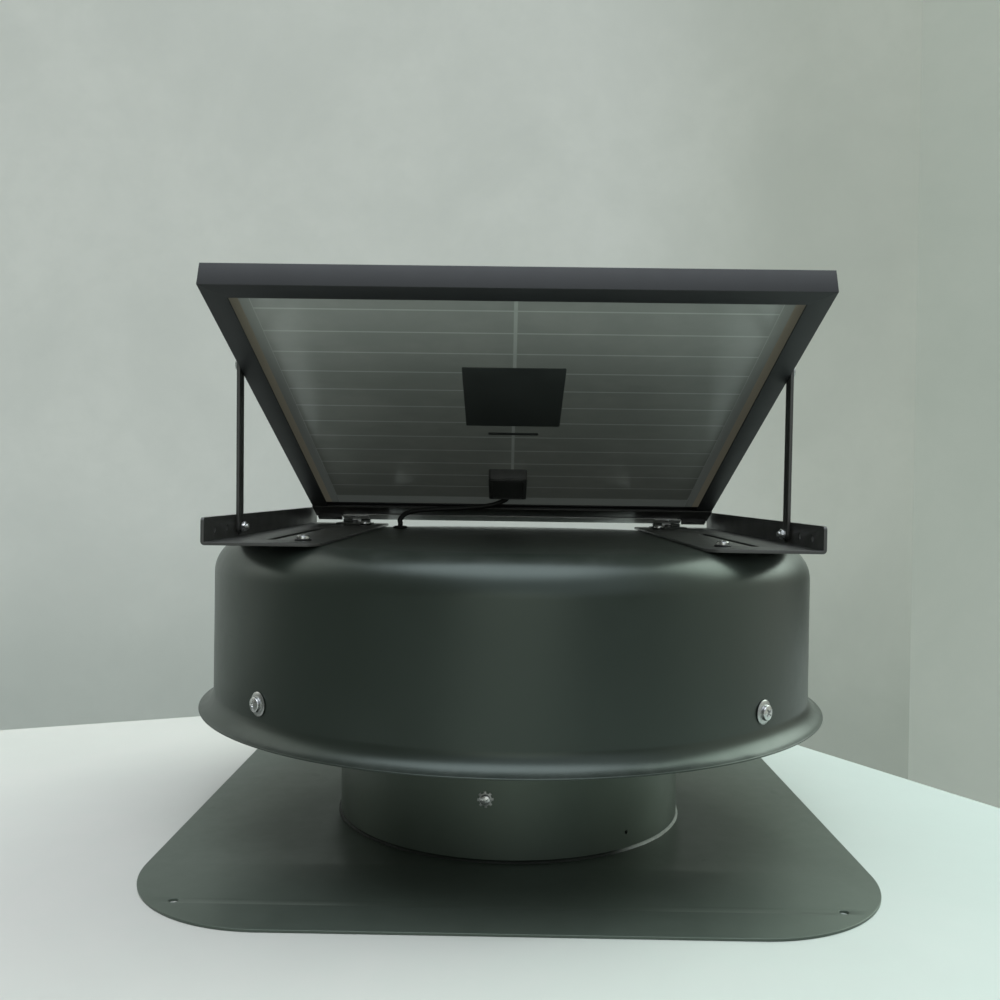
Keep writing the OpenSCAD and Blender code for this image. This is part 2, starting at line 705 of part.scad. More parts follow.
// bar from the bracket to the frame, with an open slot at its lower end
module strut(side) color([0.11, 0.11, 0.11]) {
  top = [hinge_y - upper_pivot[0] * cos(tilt) + upper_pivot[1] * sin(tilt),
    hinge_z + upper_pivot[0] * sin(tilt) + upper_pivot[1] * cos(tilt)];
  rise = top - lower_pivot;
  length = norm(rise);
  translate([side > 0 ? strut_in : -strut_in - strut_t, lower_pivot[0], lower_pivot[1]])
    rotate([atan2(rise[1], rise[0]) - 90, 0, 0]) difference() {
      rotate([90, 0, 90]) linear_extrude(strut_t) {
        translate([-strut_w / 2, 0]) square([strut_w, length]);
        circle(d = strut_w);
        translate([0, length]) circle(d = strut_w);
      }
      along_x([-1, 0, length]) cylinder(r = 2.57, h = strut_t + 2);
      along_x([-1, 0, 0]) cylinder(r = strut_slot_w / 2, h = strut_t + 2);
      rotate([-24.1, 0, 0]) translate([-1, -strut_slot_w / 2, -20]) cube([strut_t + 2, strut_slot_w, 20]);
    }
}
module strut_left() strut(-1);
module strut_right() strut(1);

// places children at a strut pivot on both sides, pointing outwards
module at_pivots(x, pivot) both_sides() along_x([x, pivot[0], pivot[1]]) children();

module strut_bolt(shank_l) pan_screw(head_r = 4.6, head_h = 2.6, shank_r = screw_r, shank_l = shank_l);
module strut_nut() hex_nut(8, strut_nut_h, 2.51);

module strut_upper_bolts() color(clip_silver) on_panel()
  at_pivots(strut_in + strut_t + gap, upper_pivot) strut_bolt(9.5);

module strut_upper_nuts() color(clip_silver) on_panel()
  at_pivots(panel_w / 2 - rail_t - gap - strut_nut_h, upper_pivot) strut_nut();

module strut_lower_bolts() color(bright_silver) at_pivots(leg_out + gap, lower_pivot) strut_bolt(11.5);

module strut_lower_nuts() color(bright_silver)
  at_pivots(strut_in - gap - strut_nut_h, lower_pivot) strut_nut();

// ---------- output ----------
flashing();
neck_collar();
neck_seam_bead();
hood_shell();
hood_support_arms();
support_arm_rivets();
hood_screws();
hood_screw_washers();
hood_screw_nuts();
neck_screws();
neck_star_washers();
motor_mount();
motor_housing();
motor_end_cap();
motor_stator();
motor_rotor();
motor_bearings();
motor_fixing_screws();
motor_shaft();
fan_hub();
fan_blades();
fan_lock_nut();
inlet_guard();
guard_clips();
motor_cable();
cable_grommet();
panel_cable();
bracket_left();
bracket_right();
bracket_screws();
bracket_sealing_washers();
bracket_nuts();
hinge_lower_leaves();
hinge_lower_screws();
hinge_lower_nuts();
hinge_pins();
hinge_upper_leaves();
hinge_upper_rivets();
hinge_strip();
hinge_rail();
panel_rail_front();
panel_rail_rear();
panel_rail_left();
panel_rail_right();
panel_glass();
solar_cells();
backsheet();
label_plate();
label_strip();
junction_box();
junction_box_lid();
strut_left();
strut_right();
strut_upper_bolts();
strut_upper_nuts();
strut_lower_bolts();
strut_lower_nuts();
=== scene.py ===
"""Solar roof ventilator on a table in a plain room.

A square flashing lies at z = 0 with a round neck on it, a spun hood covers the neck, and two
brackets on the hood carry a solar panel. The neck's axis is x = y = 0. The panel is hinged at
the rear (+Y) and propped up towards the front (-Y), where the camera stands. +X is to the right.
Lengths are in mm unless a comment says otherwise, and become metres when a mesh is made.
"""
import json
import math

import bmesh
import bpy
from mathutils import Matrix, Vector
from mathutils.geometry import tessellate_polygon

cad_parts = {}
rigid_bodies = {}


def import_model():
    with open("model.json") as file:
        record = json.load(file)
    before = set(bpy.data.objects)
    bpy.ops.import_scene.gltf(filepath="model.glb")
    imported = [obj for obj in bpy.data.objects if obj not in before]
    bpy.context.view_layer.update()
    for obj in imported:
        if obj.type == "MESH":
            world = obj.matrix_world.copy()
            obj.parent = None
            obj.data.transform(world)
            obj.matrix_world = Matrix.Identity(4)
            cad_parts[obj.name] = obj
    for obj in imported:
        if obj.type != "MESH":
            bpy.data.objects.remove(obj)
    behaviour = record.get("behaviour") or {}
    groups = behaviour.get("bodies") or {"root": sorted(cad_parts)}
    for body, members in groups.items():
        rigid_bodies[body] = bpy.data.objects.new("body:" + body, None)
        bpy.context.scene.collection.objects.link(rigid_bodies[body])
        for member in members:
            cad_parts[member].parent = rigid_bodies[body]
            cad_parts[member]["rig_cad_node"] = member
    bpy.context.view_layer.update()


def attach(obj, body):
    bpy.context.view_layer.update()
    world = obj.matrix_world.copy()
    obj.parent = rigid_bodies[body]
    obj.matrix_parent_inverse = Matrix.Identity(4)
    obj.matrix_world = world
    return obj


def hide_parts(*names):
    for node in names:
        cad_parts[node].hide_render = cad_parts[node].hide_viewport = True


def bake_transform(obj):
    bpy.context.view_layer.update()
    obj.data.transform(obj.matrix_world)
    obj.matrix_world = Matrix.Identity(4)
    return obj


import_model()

MM = 0.001
TAU = 2 * math.pi
SIDES = (-1, 1)  # left, right


def rad(degrees):
    return degrees * math.pi / 180.0


def cosd(degrees):
    return math.cos(rad(degrees))


def sind(degrees):
    return math.sin(rad(degrees))


# ------------------------------------------------------------------ dimensions
FLASHING_SIDE, FLASHING_CORNER, FLASHING_THICK = 560.0, 112.0, 2.0
NECK_R, NECK_WALL, NECK_H = 155.0, 1.5, 165.0
NECK_INNER_R = NECK_R - NECK_WALL
HOOD_R, HOOD_TOP, HOOD_WALL, SHOULDER_R = 267.5, 251.0, 1.5, 30.0
FLARE_Z, FLARE_R, BRIM_R = 119.87, 15.5, 280.0  # outward curve at the foot of the hood wall
HOOD_SCREW_ANGLES, HOOD_SCREW_Z = (45.0, 135.0, 225.0, 315.0), 131.5
NECK_SCREW_ANGLES, NECK_SCREW_Z = (-96.8, 23.2, 143.2), 51.5

BRACKET_THICK, BEND_R = 2.5, 3.0  # BEND_R is on the outside of the bend
FOOT_IN, LEG_OUT, LEG_H = 142.5, 230.5, 17.5
SHELF = HOOD_TOP + BRACKET_THICK
LEG_FOOT = HOOD_TOP + BEND_R
BRACKET_SCREW_X, BRACKET_SCREW_Y = 162, 165

LEAF_THICK, KNUCKLE_R = 1.3, 2.6
HINGE_X, HINGE_Y, HINGE_Z, TILT = 179.0, 220.0, SHELF + KNUCKLE_R, 21.0
LEAF_SCREW_Y, RIVET_V = 203, 11.5
COS_TILT, SIN_TILT = cosd(TILT), sind(TILT)

PANEL_W, PANEL_L, PANEL_V, PANEL_UNDER = 450.0, 482.0, 7.5, 5.0
SEAT = PANEL_UNDER + 12.7  # underside of the laminate
CELL_ROWS, CELL_PITCH, CELL_L, CELL_V = 13, 33.43, 31.6, 37.2
CELL_W, CELL_COLUMNS = 195.7, (-198.0, 2.3)

STRUT_IN, STRUT_THICK, STRUT_W = 225.35, 2.6, 14.0
PIVOT_Y, PIVOT_Z = -108.0, 261.5  # lower strut pivot
PIVOT_V, PIVOT_W = 358.9, 11.35  # upper strut pivot, on the panel
GROMMET = (-122.0, 159.0)
CABLE_R = 2.7


# ------------------------------------------------------------------ placing
def as_is(p):
    return p


def on_panel(p):
    """Panel coordinates (x along the hinge, v up the slope, w square to it) to the main frame."""
    x, v, w = p
    return (x, HINGE_Y - v * COS_TILT + w * SIN_TILT, HINGE_Z + v * SIN_TILT + w * COS_TILT)


def mirror(side, place=as_is):
    return lambda p: place((side * p[0], p[1], p[2]))


def across(place):
    """Turns an outline so that its thickness runs along x."""
    return lambda p: place((p[2], p[0], p[1]))


def at(origin, axis, spin=0.0):
    """Local frame at origin, with +Z along axis and turned about it by spin."""
    z = Vector(axis).normalized()
    ref = Vector((0, 0, 1)) if abs(z.z) < 0.9 else Vector((0, 1, 0))
    x = ref.cross(z).normalized()
    y = z.cross(x)
    c, s = cosd(spin), sind(spin)
    x_spun, y_spun = x * c + y * s, -x * s + y * c
    start = Vector(origin)
    return lambda p: tuple(start + x_spun * p[0] + y_spun * p[1] + z * p[2])


def radial(angle, r, z, out=1, spin=0.0):
    """Local frame on a cylinder about the main axis, facing outwards, or inwards for out = -1."""
    return at((cosd(angle) * r, sind(angle) * r, z), (out * cosd(angle), out * sind(angle), 0), spin)


# ------------------------------------------------------------------ meshes
def shade(mesh, angle):
    mesh.shade_smooth()
    mesh.set_sharp_from_angle(angle=rad(angle))


def add_object(name, mesh):
    ob = bpy.data.objects.new(name, mesh)
    bpy.context.scene.collection.objects.link(ob)
    return ob


def fit(ob, body, node):
    """Attaches a finished piece to its moving body and hides the CAD node it stands for."""
    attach(ob, body)
    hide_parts(node)


class Part:
    """Collects geometry for one piece."""

    def __init__(self):
        self.verts, self.faces, self.material_ids = [], [], []

    def add(self, verts, faces, material=0):
        base = len(self.verts)
        self.verts += [tuple(p) for p in verts]
        self.faces += [tuple(i + base for i in face) for face in faces]
        self.material_ids += [material] * len(faces)

    def make(self, name, angle, *materials):
        """Makes the object. Edges sharper than angle stay sharp."""
        mesh = bpy.data.meshes.new(name)
        mesh.from_pydata([(x * MM, y * MM, z * MM) for x, y, z in self.verts], [], self.faces)
        mesh.polygons.foreach_set("material_index", self.material_ids)
        bm = bmesh.new()
        bm.from_mesh(mesh)
        bmesh.ops.remove_doubles(bm, verts=bm.verts, dist=2e-7)
        bmesh.ops.dissolve_degenerate(bm, edges=bm.edges, dist=1e-8)
        bmesh.ops.recalc_face_normals(bm, faces=bm.faces)
        bm.to_mesh(mesh)
        bm.free()
        shade(mesh, angle)
        for material in materials:
            mesh.materials.append(material)
        return add_object(name, mesh)

    def fit(self, name, material, angle, body, slot, node):
        fit(self.make(name, angle, material), body, node)


def arc(cx, cy, r, start, end, n):
    angles = [start + (end - start) * i / n for i in range(n + 1)]
    return [(cx + r * cosd(a), cy + r * sind(a)) for a in angles]


def circle(cx, cy, r, n):
    return [(cx + r * cosd(360.0 * i / n), cy + r * sind(360.0 * i / n)) for i in range(n)]


def rrect(x0, y0, x1, y1, r, n):
    """Rounded rectangle. r is one radius or four, counter-clockwise from the lower left."""
    r = r if isinstance(r, tuple) else (r,) * 4
    return (arc(x0 + r[0], y0 + r[0], r[0], 180, 270, n)
            + arc(x1 - r[1], y0 + r[1], r[1], 270, 360, n)
            + arc(x1 - r[2], y1 - r[2], r[2], 0, 90, n)
            + arc(x0 + r[3], y1 - r[3], r[3], 90, 180, n))


def area(loop):
    return 0.5 * sum(a[0] * b[1] - b[0] * a[1] for a, b in zip(loop, loop[1:] + loop[:1]))


def dedupe(loop):
    """Drops points that repeat the one before."""
    out = []
    for p in loop:
        if not out or (abs(p[0] - out[-1][0]) + abs(p[1] - out[-1][1])) > 1e-5:
            out.append(p)
    if abs(out[0][0] - out[-1][0]) + abs(out[0][1] - out[-1][1]) < 1e-5:
        out.pop()
    return out


def inset(loop, distance):
    """Moves a loop to its left by distance, mitred."""
    n, out = len(loop), []
    for i in range(n):
        a, b, c = loop[i - 1], loop[i], loop[(i + 1) % n]
        e1, e2 = (b[0] - a[0], b[1] - a[1]), (c[0] - b[0], c[1] - b[1])
        l1, l2 = math.hypot(*e1) or 1.0, math.hypot(*e2) or 1.0
        n1, n2 = (-e1[1] / l1, e1[0] / l1), (-e2[1] / l2, e2[0] / l2)
        k = max(1 + n1[0] * n2[0] + n1[1] * n2[1], 0.35)
        out.append((b[0] + distance * (n1[0] + n2[0]) / k, b[1] + distance * (n1[1] + n2[1]) / k))
    return out


def fillet(loop, r, n):
    """Rounds every corner of a loop by r, in n steps."""
    out = []
    for i in range(len(loop)):
        corner = Vector(loop[i])
        back, ahead = Vector(loop[i - 1]) - corner, Vector(loop[(i + 1) % len(loop)]) - corner
        back_l, ahead_l = back.length, ahead.length
        back.normalize()
        ahead.normalize()
        angle = back.angle(ahead)
        trim = min(r / math.tan(angle / 2), back_l * 0.45, ahead_l * 0.45)
        corner_r = trim * math.tan(angle / 2)
        centre = corner + (back + ahead).normalized() * (corner_r / math.sin(angle / 2))
        first, last = corner + back * trim - centre, corner + ahead * trim - centre
        turn = first.angle(last)
        sign = 1 if first.x * last.y - first.y * last.x > 0 else -1
        for k in range(n + 1):
            spoke = first.copy()
            spoke.rotate(Matrix.Rotation(sign * turn * k / n, 2))
            out.append(tuple(centre + spoke))
    return out


def band(a, b):
    """Quads between two closed rings of vertex numbers."""
    n = len(a)
    return [(a[i], a[(i + 1) % n], b[(i + 1) % n], b[i]) for i in range(n)]


def plate(part, outer, holes, low, high, bevel, place, material=0, steps=3):
    """Flat plate with holes between the levels low and high, its edges rounded by bevel."""
    loops = [dedupe(loop) for loop in [outer] + holes]
    loops = [lp if (area(lp) > 0) == (k == 0) else lp[::-1] for k, lp in enumerate(loops)]
    angles = [90.0 * i / steps for i in range(steps + 1)]
    profile = [(bevel * (1 - sind(a)), low + bevel * (1 - cosd(a))) for a in angles]
    profile += [(bevel * (1 - cosd(a)), high - bevel * (1 - sind(a))) for a in angles]
    verts, faces, low_ids, high_ids, cap = [], [], [], [], []
    for loop in loops:
        base, n = len(verts), len(loop)
        for depth, level in profile:
            verts += [place((x, y, level)) for x, y in inset(loop, depth)]
        rings = [range(base + k * n, base + (k + 1) * n) for k in range(len(profile))]
        for a, b in zip(rings, rings[1:]):
            faces += band(a, b)
        low_ids += rings[0]
        high_ids += rings[-1]
        cap.append([Vector((x, y, 0)) for x, y in inset(loop, bevel)])
    for triangle in tessellate_polygon(cap):
        faces.append(tuple(low_ids[i] for i in triangle))
        faces.append(tuple(high_ids[i] for i in reversed(triangle)))
    part.add(verts, faces, material)


def lathe(part, profile, n, place=as_is, wobble=lambda r, z, turn: (r, z), centre=(0.0, 0.0)):
    """Revolves a closed loop of (r, z) about the line along z through centre."""
    verts, rings, faces = [], [], []
    for r, z in profile:
        count = 1 if r < 1e-6 else n
        rings.append(range(len(verts), len(verts) + count))
        for i in range(count):
            turn = TAU * i / n
            ring_r, ring_z = wobble(r, z, turn)
            verts.append(place((centre[0] + ring_r * math.cos(turn),
                                centre[1] + ring_r * math.sin(turn), ring_z)))
    for a, b in zip(rings, rings[1:] + rings[:1]):
        if len(a) == 1 and len(b) == 1:
            continue
        if len(a) == 1:
            faces += [(a[0], b[(i + 1) % n], b[i]) for i in range(n)]
        elif len(b) == 1:
            faces += [(a[i], a[(i + 1) % n], b[0]) for i in range(n)]
        else:
            faces += band(a, b)
    part.add(verts, faces)


def screw(part, place, head_r, head_h, shank_r, shank_l, drive_r, spin):
    """Pan head with a cross recess sunk into its dome. z = 0 is the underside of the head."""
    n = 96
    slot_half = head_r * 0.105
    depth = head_h * 0.62
    cos_spin, sin_spin = cosd(spin), sind(spin)

    def dome(r):
        t = min(r / head_r, 1.0)
        if t < 0.9:
            return head_h * (1.0 - 0.32 * t ** 2.2)
        rim_h = head_h * (1.0 - 0.32 * 0.9 ** 2.2)
        return rim_h * math.sqrt(max(0.0, 1 - ((t - 0.9) / 0.1) ** 2)) ** 0.9

    def clamp(value):
        return min(max(value, 0.0), 1.0)

    def recess(x, y):
        """1 at full depth in the cross, 0 outside it."""
        a, b = abs(x * cos_spin + y * sin_spin), abs(-x * sin_spin + y * cos_spin)
        sunk = clamp(1.25 - math.hypot(a, b) / (slot_half * 2.3))
        for along, aside in ((a, b), (b, a)):
            end = 1.0 - along / drive_r
            flank = 1.0 - aside / (slot_half * (0.7 + 0.6 * max(end, 0)))
            sunk = max(sunk, clamp(end * 3.2) * clamp(flank * 2.6 + 0.35))
        return sunk

    verts, rings, faces = [place((0, 0, head_h - depth))], [[0]], []

    def ring(r, height):
        rings.append(range(len(verts), len(verts) + n))
        for i in range(n):
            x, y = r * math.cos(TAU * i / n), r * math.sin(TAU * i / n)
            verts.append(place((x, y, height(x, y))))

    radii = [head_r * 0.9 * (i / 30.0) for i in range(1, 31)]
    radii += [head_r * (0.9 + 0.1 * sind(90.0 * i / 6)) for i in range(1, 7)]
    for r in radii:
        top = dome(r)
        ring(r, lambda x, y: max(top - depth * recess(x, y), 0.02))
    for r, z in ((head_r, 0.0), (shank_r + 0.01, 0.0), (shank_r, -0.15),
                 (shank_r, -shank_l + 0.6), (shank_r - 0.5, -shank_l)):
        ring(r, lambda x, y: z)
    for a, b in zip(rings, rings[1:]):
        for i in range(n):
            j = (i + 1) % n
            faces.append((0, b[i], b[j]) if len(a) == 1 else (a[i], b[i], b[j], a[j]))
    faces.append(tuple(rings[-1]))
    part.add(verts, faces)


def hexnut(part, place, flats, h, bore, spin=0.0):
    """Hex nut with chamfered corners. flats is the width across flats, bore a radius."""
    flat_r = flats / 2
    corner_r = flat_r / cosd(30)
    chamfer = corner_r - flat_r
    profile = [
        (bore, 0.35), (bore + 0.35, 0.0), (flat_r * 0.97, 0.0), (flat_r * 1.045, chamfer * 0.32),
        (corner_r, chamfer * 0.62), (corner_r, h - chamfer * 0.62),
        (flat_r * 1.045, h - chamfer * 0.32), (flat_r * 0.97, h), (bore + 0.35, h),
        (bore, h - 0.35)]

    def keep_inside_hex(r, z, turn):
        return min(flat_r / cosd((math.degrees(turn) + spin) % 60.0 - 30.0), r), z

    lathe(part, profile, 72, place, keep_inside_hex)


def sweep(part, points, r, n=24, sub=14):
    """Round cable on a Catmull-Rom path through the points, with flat ends."""
    knots = [Vector(p) for p in points]
    path = []
    for i in range(len(knots) - 1):
        p0, p1, p2 = knots[max(i - 1, 0)], knots[i], knots[i + 1]
        p3 = knots[min(i + 2, len(knots) - 1)]
        for k in range(sub):
            t = k / sub
            path.append(0.5 * ((2 * p1) + (p2 - p0) * t + (2 * p0 - 5 * p1 + 4 * p2 - p3) * t * t
                               + (3 * p1 - 3 * p2 + p3 - p0) * t ** 3))
    path.append(knots[-1])
    count = len(path)
    tangents = [(path[min(i + 1, count - 1)] - path[max(i - 1, 0)]).normalized()
                for i in range(count)]
    first = tangents[0]
    up = Vector((1, 0, 0)) if abs(first.x) < 0.8 else Vector((0, 1, 0))
    normal = (up - first * up.dot(first)).normalized()
    verts, faces = [], []
    for p, tangent in zip(path, tangents):
        normal = (normal - tangent * normal.dot(tangent)).normalized()
        binormal = tangent.cross(normal)
        for k in range(n):
            a = TAU * k / n
            verts.append(tuple(p + (normal * math.cos(a) + binormal * math.sin(a)) * r))
    for i in range(count - 1):
        faces += band(range(i * n, (i + 1) * n), range((i + 1) * n, (i + 2) * n))
    faces.append(tuple(range(n))[::-1])
    faces.append(tuple((count - 1) * n + k for k in range(n)))
    part.add(verts, faces)


# ------------------------------------------------------------------ node helpers
class Nodes:
    """Helper over one node tree."""

    def __init__(self, tree):
        self.tree = tree

    def link(self, a, b):
        self.tree.links.new(a, b)

    def node(self, kind, **settings):
        node = self.tree.nodes.new(kind)
        for key, value in settings.items():
            setattr(node, key, value)
        return node

    def put(self, socket, value):
        """Links a socket or sets a value. Colours are given without alpha."""
        if isinstance(value, bpy.types.NodeSocket):
            self.link(value, socket)
        else:
            socket.default_value = (*value, 1.0) if socket.type == "RGBA" else value

    def ramp(self, fac, lo, hi, to=(0.0, 1.0), kind="SMOOTHSTEP"):
        """Maps lo..hi to the range to, with soft ends."""
        node = self.node("ShaderNodeMapRange", interpolation_type=kind)
        for name, value in (("From Min", lo), ("From Max", hi), ("To Min", to[0]),
                            ("To Max", to[1]), ("Value", fac)):
            self.put(node.inputs[name], value)
        return node.outputs["Result"]

    def vector(self, operation, a, b):
        node = self.node("ShaderNodeVectorMath", operation=operation)
        self.put(node.inputs[0], a)
        self.put(node.inputs[1], b)
        return node.outputs["Value" if operation == "DOT_PRODUCT" else "Vector"]

    def dot(self, a, b):
        return self.vector("DOT_PRODUCT", a, b)


class Shader(Nodes):
    """A material, with its Principled node and object coordinates (metres)."""

    INPUTS = {
        "color": "Base Color", "rough": "Roughness", "metal": "Metallic", "normal": "Normal",
        "ior": "IOR", "spec": "Specular IOR Level", "trans": "Transmission Weight",
        "tint": "Specular Tint", "emit": "Emission Color", "glow": "Emission Strength"}

    def __init__(self, name):
        self.material = bpy.data.materials.new(name)
        self.material.use_nodes = True
        super().__init__(self.material.node_tree)
        self.bsdf = self.tree.nodes["Principled BSDF"]
        self.coords = self.node("ShaderNodeTexCoord").outputs["Object"]

    def noise(self, scale, detail=3.0, rough=0.55, stretch=None, distortion=0.0, seed=0.0):
        node = self.node("ShaderNodeTexNoise", noise_dimensions="4D")
        for name, value in (("W", seed), ("Scale", scale), ("Detail", detail),
                            ("Roughness", rough), ("Distortion", distortion)):
            node.inputs[name].default_value = value
        coords = self.coords
        if stretch:
            mapping = self.node("ShaderNodeMapping")
            mapping.inputs["Scale"].default_value = stretch
            self.link(coords, mapping.inputs["Vector"])
            coords = mapping.outputs[0]
        self.link(coords, node.inputs["Vector"])
        return node.outputs["Fac"]

    def math(self, operation, a, b=None):
        node = self.node("ShaderNodeMath", operation=operation)
        self.put(node.inputs[0], a)
        if b is not None:
            self.put(node.inputs[1], b)
        return node.outputs[0]

    def times(self, total, *factors):
        for factor in factors:
            total = self.math("MULTIPLY", total, factor)
        return total

    def plus(self, total, *terms):
        for term in terms:
            total = self.math("ADD", total, term)
        return total

    def mix(self, fac, a, b):
        node = self.node("ShaderNodeMix", data_type="RGBA")
        # sockets 6 and 7 are the colours A and B, output 2 is the colour
        for index, value in ((0, fac), (6, a), (7, b)):
            self.put(node.inputs[index], value)
        return node.outputs[2]

    def tones(self, noise, a, b, lo=0.35, hi=0.65, to=(0.0, 1.0)):
        """Patches of colour b over a, where the noise rises from lo to hi."""
        return self.mix(self.ramp(noise, lo, hi, to), a, b)

    def along(self, axis):
        return self.dot(self.coords, axis)

    def panel_coords(self):
        """x along the hinge and v up the slope, in metres."""
        p = self.vector("SUBTRACT", self.coords, (0.0, HINGE_Y * MM, HINGE_Z * MM))
        return self.dot(p, (1, 0, 0)), self.dot(p, (0, -COS_TILT, SIN_TILT))

    def bump(self, height, distance, strength=1.0, normal=None):
        node = self.node("ShaderNodeBump")
        node.inputs["Strength"].default_value = strength
        node.inputs["Distance"].default_value = distance
        self.link(height, node.inputs["Height"])
        if normal is not None:
            self.link(normal, node.inputs["Normal"])
        return node.outputs[0]

    def finish(self, **values):
        for key, value in values.items():
            self.put(self.bsdf.inputs[self.INPUTS[key]], value)
        return self.material

    def dust_and_top_light(self, patches, amount):
        """Dust on faces that look up, in patches; where the amount is raised, as on the hood, it is
        also painted light on the tops.
        """
        normal = self.node("ShaderNodeNewGeometry").outputs["Normal"]
        return self.times(self.ramp(self.dot(normal, (0, 0, 1)), 0.3, 0.95), patches, amount)

    def edge(self, radius):
        """1 near a sharp edge, 0 on flats."""
        bevel = self.node("ShaderNodeBevel", samples=4)
        bevel.inputs["Radius"].default_value = radius
        normal = self.node("ShaderNodeNewGeometry").outputs["Normal"]
        return self.ramp(self.dot(bevel.outputs[0], normal), 0.995, 0.86)


def scaled(colour, factor, lift=0.0):
    return tuple(min(c * factor + lift, 1) for c in colour)


# ------------------------------------------------------------------ coatings, metals, plastics
def coated(name, base, rough, dust_and_top_light, tone, peel=0.000022, spec=0.5, edge=0.0, tint=(1, 1, 1),
           vary=1.0):
    """Powder-coated sheet: orange peel, patchy tone, fine dust on top faces (on the hood also
    painted light on its top), faint rubs.

    tone is the strength of the patches, peel the height of the orange peel in metres, edge the
    wear on sharp edges and vary the unevenness of gloss and surface."""
    mat = Shader(name)
    broad = mat.noise(7.0, detail=4.0, rough=0.6)
    medium = mat.noise(60.0, detail=4.0, rough=0.6, seed=3.1)
    speck = mat.noise(2600.0, detail=2.0, rough=0.5, seed=1.7)
    light = scaled(base, 1 + tone)
    color = mat.tones(broad, scaled(base, 1 - tone), light)
    color = mat.tones(medium, color, light, lo=0.45, hi=0.75, to=(0.0, 0.35))
    color = mat.tones(speck, color, scaled(base, 2.2, lift=0.01), lo=0.66, hi=0.76, to=(0.0, 0.35))
    top_patch_noise = mat.noise(38.0, detail=6.0, rough=0.7, seed=9.0)
    # up-facing faces lightened in patches: dust, and on the hood also painted light
    dust_and_top_light_mask = mat.dust_and_top_light(mat.ramp(top_patch_noise, 0.42, 0.72), dust_and_top_light)
    color = mat.mix(dust_and_top_light_mask, color, (0.34, 0.35, 0.33))
    rubs = mat.noise(30.0, detail=2.0, rough=0.5, stretch=(1.0, 1.0, 22.0), distortion=0.6, seed=5.0)
    gloss = mat.plus(
        mat.ramp(medium, 0.3, 0.7, to=(-0.035 * vary, 0.035 * vary)),
        mat.ramp(broad, 0.3, 0.7, to=(rough - 0.03 * vary, rough + 0.03 * vary)),
        mat.ramp(rubs, 0.70, 0.74, to=(0.0, 0.05)),
        mat.times(dust_and_top_light_mask, 0.8))
    if edge > 0:
        wear = mat.noise(190.0, detail=4.0, rough=0.7, seed=12.0)
        worn = mat.times(mat.edge(radius=0.0006), mat.ramp(wear, 0.45, 0.62, to=(0.0, edge)))
        color = mat.mix(worn, color, (0.25, 0.26, 0.25))
    peeled = mat.bump(mat.noise(520.0, detail=2.5, rough=0.5, seed=2.2), distance=peel)
    waves = mat.noise(9.0, detail=2.0, rough=0.5, seed=4.4)
    normal = mat.bump(waves, distance=0.00035, strength=0.25 * vary, normal=peeled)
    return mat.finish(color=color, rough=gloss, normal=normal, spec=spec, tint=tint)


def metal(name, base, rough, stretch=(1.0, 1.0, 30.0), stain=0.25, metallic=1.0):
    """Brushed metal with stains. The brushing is fine along the large axis of stretch."""
    mat = Shader(name)
    broad = mat.noise(90.0, detail=4.0, rough=0.6)
    brushed = mat.noise(900.0, detail=3.0, rough=0.6, stretch=stretch, seed=2.0)
    spots = mat.noise(420.0, detail=5.0, rough=0.7, seed=8.0)
    color = mat.tones(broad, base, scaled(base, 1 - stain), lo=0.4, hi=0.68)
    color = mat.tones(spots, color, scaled(base, 0.55), lo=0.62, hi=0.75, to=(0.0, 0.3))
    gloss = mat.plus(mat.ramp(brushed, 0.3, 0.7, to=(-0.07, 0.09)),
                     mat.ramp(broad, 0.3, 0.7, to=(rough - 0.04, rough + 0.06)))
    return mat.finish(color=color, rough=gloss, metal=metallic,
                      normal=mat.bump(brushed, distance=0.000015, strength=0.8))


def plastic(name, base, rough, grain=0.00003, scale=1500.0):
    """Moulded plastic or rubber. grain is the height of its texture in metres."""
    mat = Shader(name)
    broad = mat.noise(40.0, detail=4.0, rough=0.6)
    texture = mat.noise(scale, detail=2.0, rough=0.5, seed=1.0)
    color = mat.tones(broad, scaled(base, 1 - 0.15), scaled(base, 1 + 0.15))
    top_patch_noise = mat.noise(120.0, detail=5.0, rough=0.7, seed=9.0)
    dust_and_top_light_mask = mat.dust_and_top_light(mat.ramp(top_patch_noise, 0.4, 0.7), 0.06)
    color = mat.mix(dust_and_top_light_mask, color, (0.3, 0.3, 0.29))
    gloss = mat.plus(mat.ramp(texture, 0.3, 0.7, to=(-0.05, 0.05)),
                     mat.ramp(broad, 0.3, 0.7, to=(rough - 0.04, rough + 0.04)))
    return mat.finish(color=color, rough=gloss, spec=0.4,
                      normal=mat.bump(texture, distance=grain, strength=0.7))


# the hood's larger dust amount lightens its upward faces: partly dust, partly painted light on the
# top
hood_paint = coated("hood_paint_v", (0.0165, 0.0215, 0.0170), rough=0.33, dust_and_top_light=0.05, spec=0.68,
                    tint=(0.85, 1.0, 0.92), tone=0.07, vary=0.4)
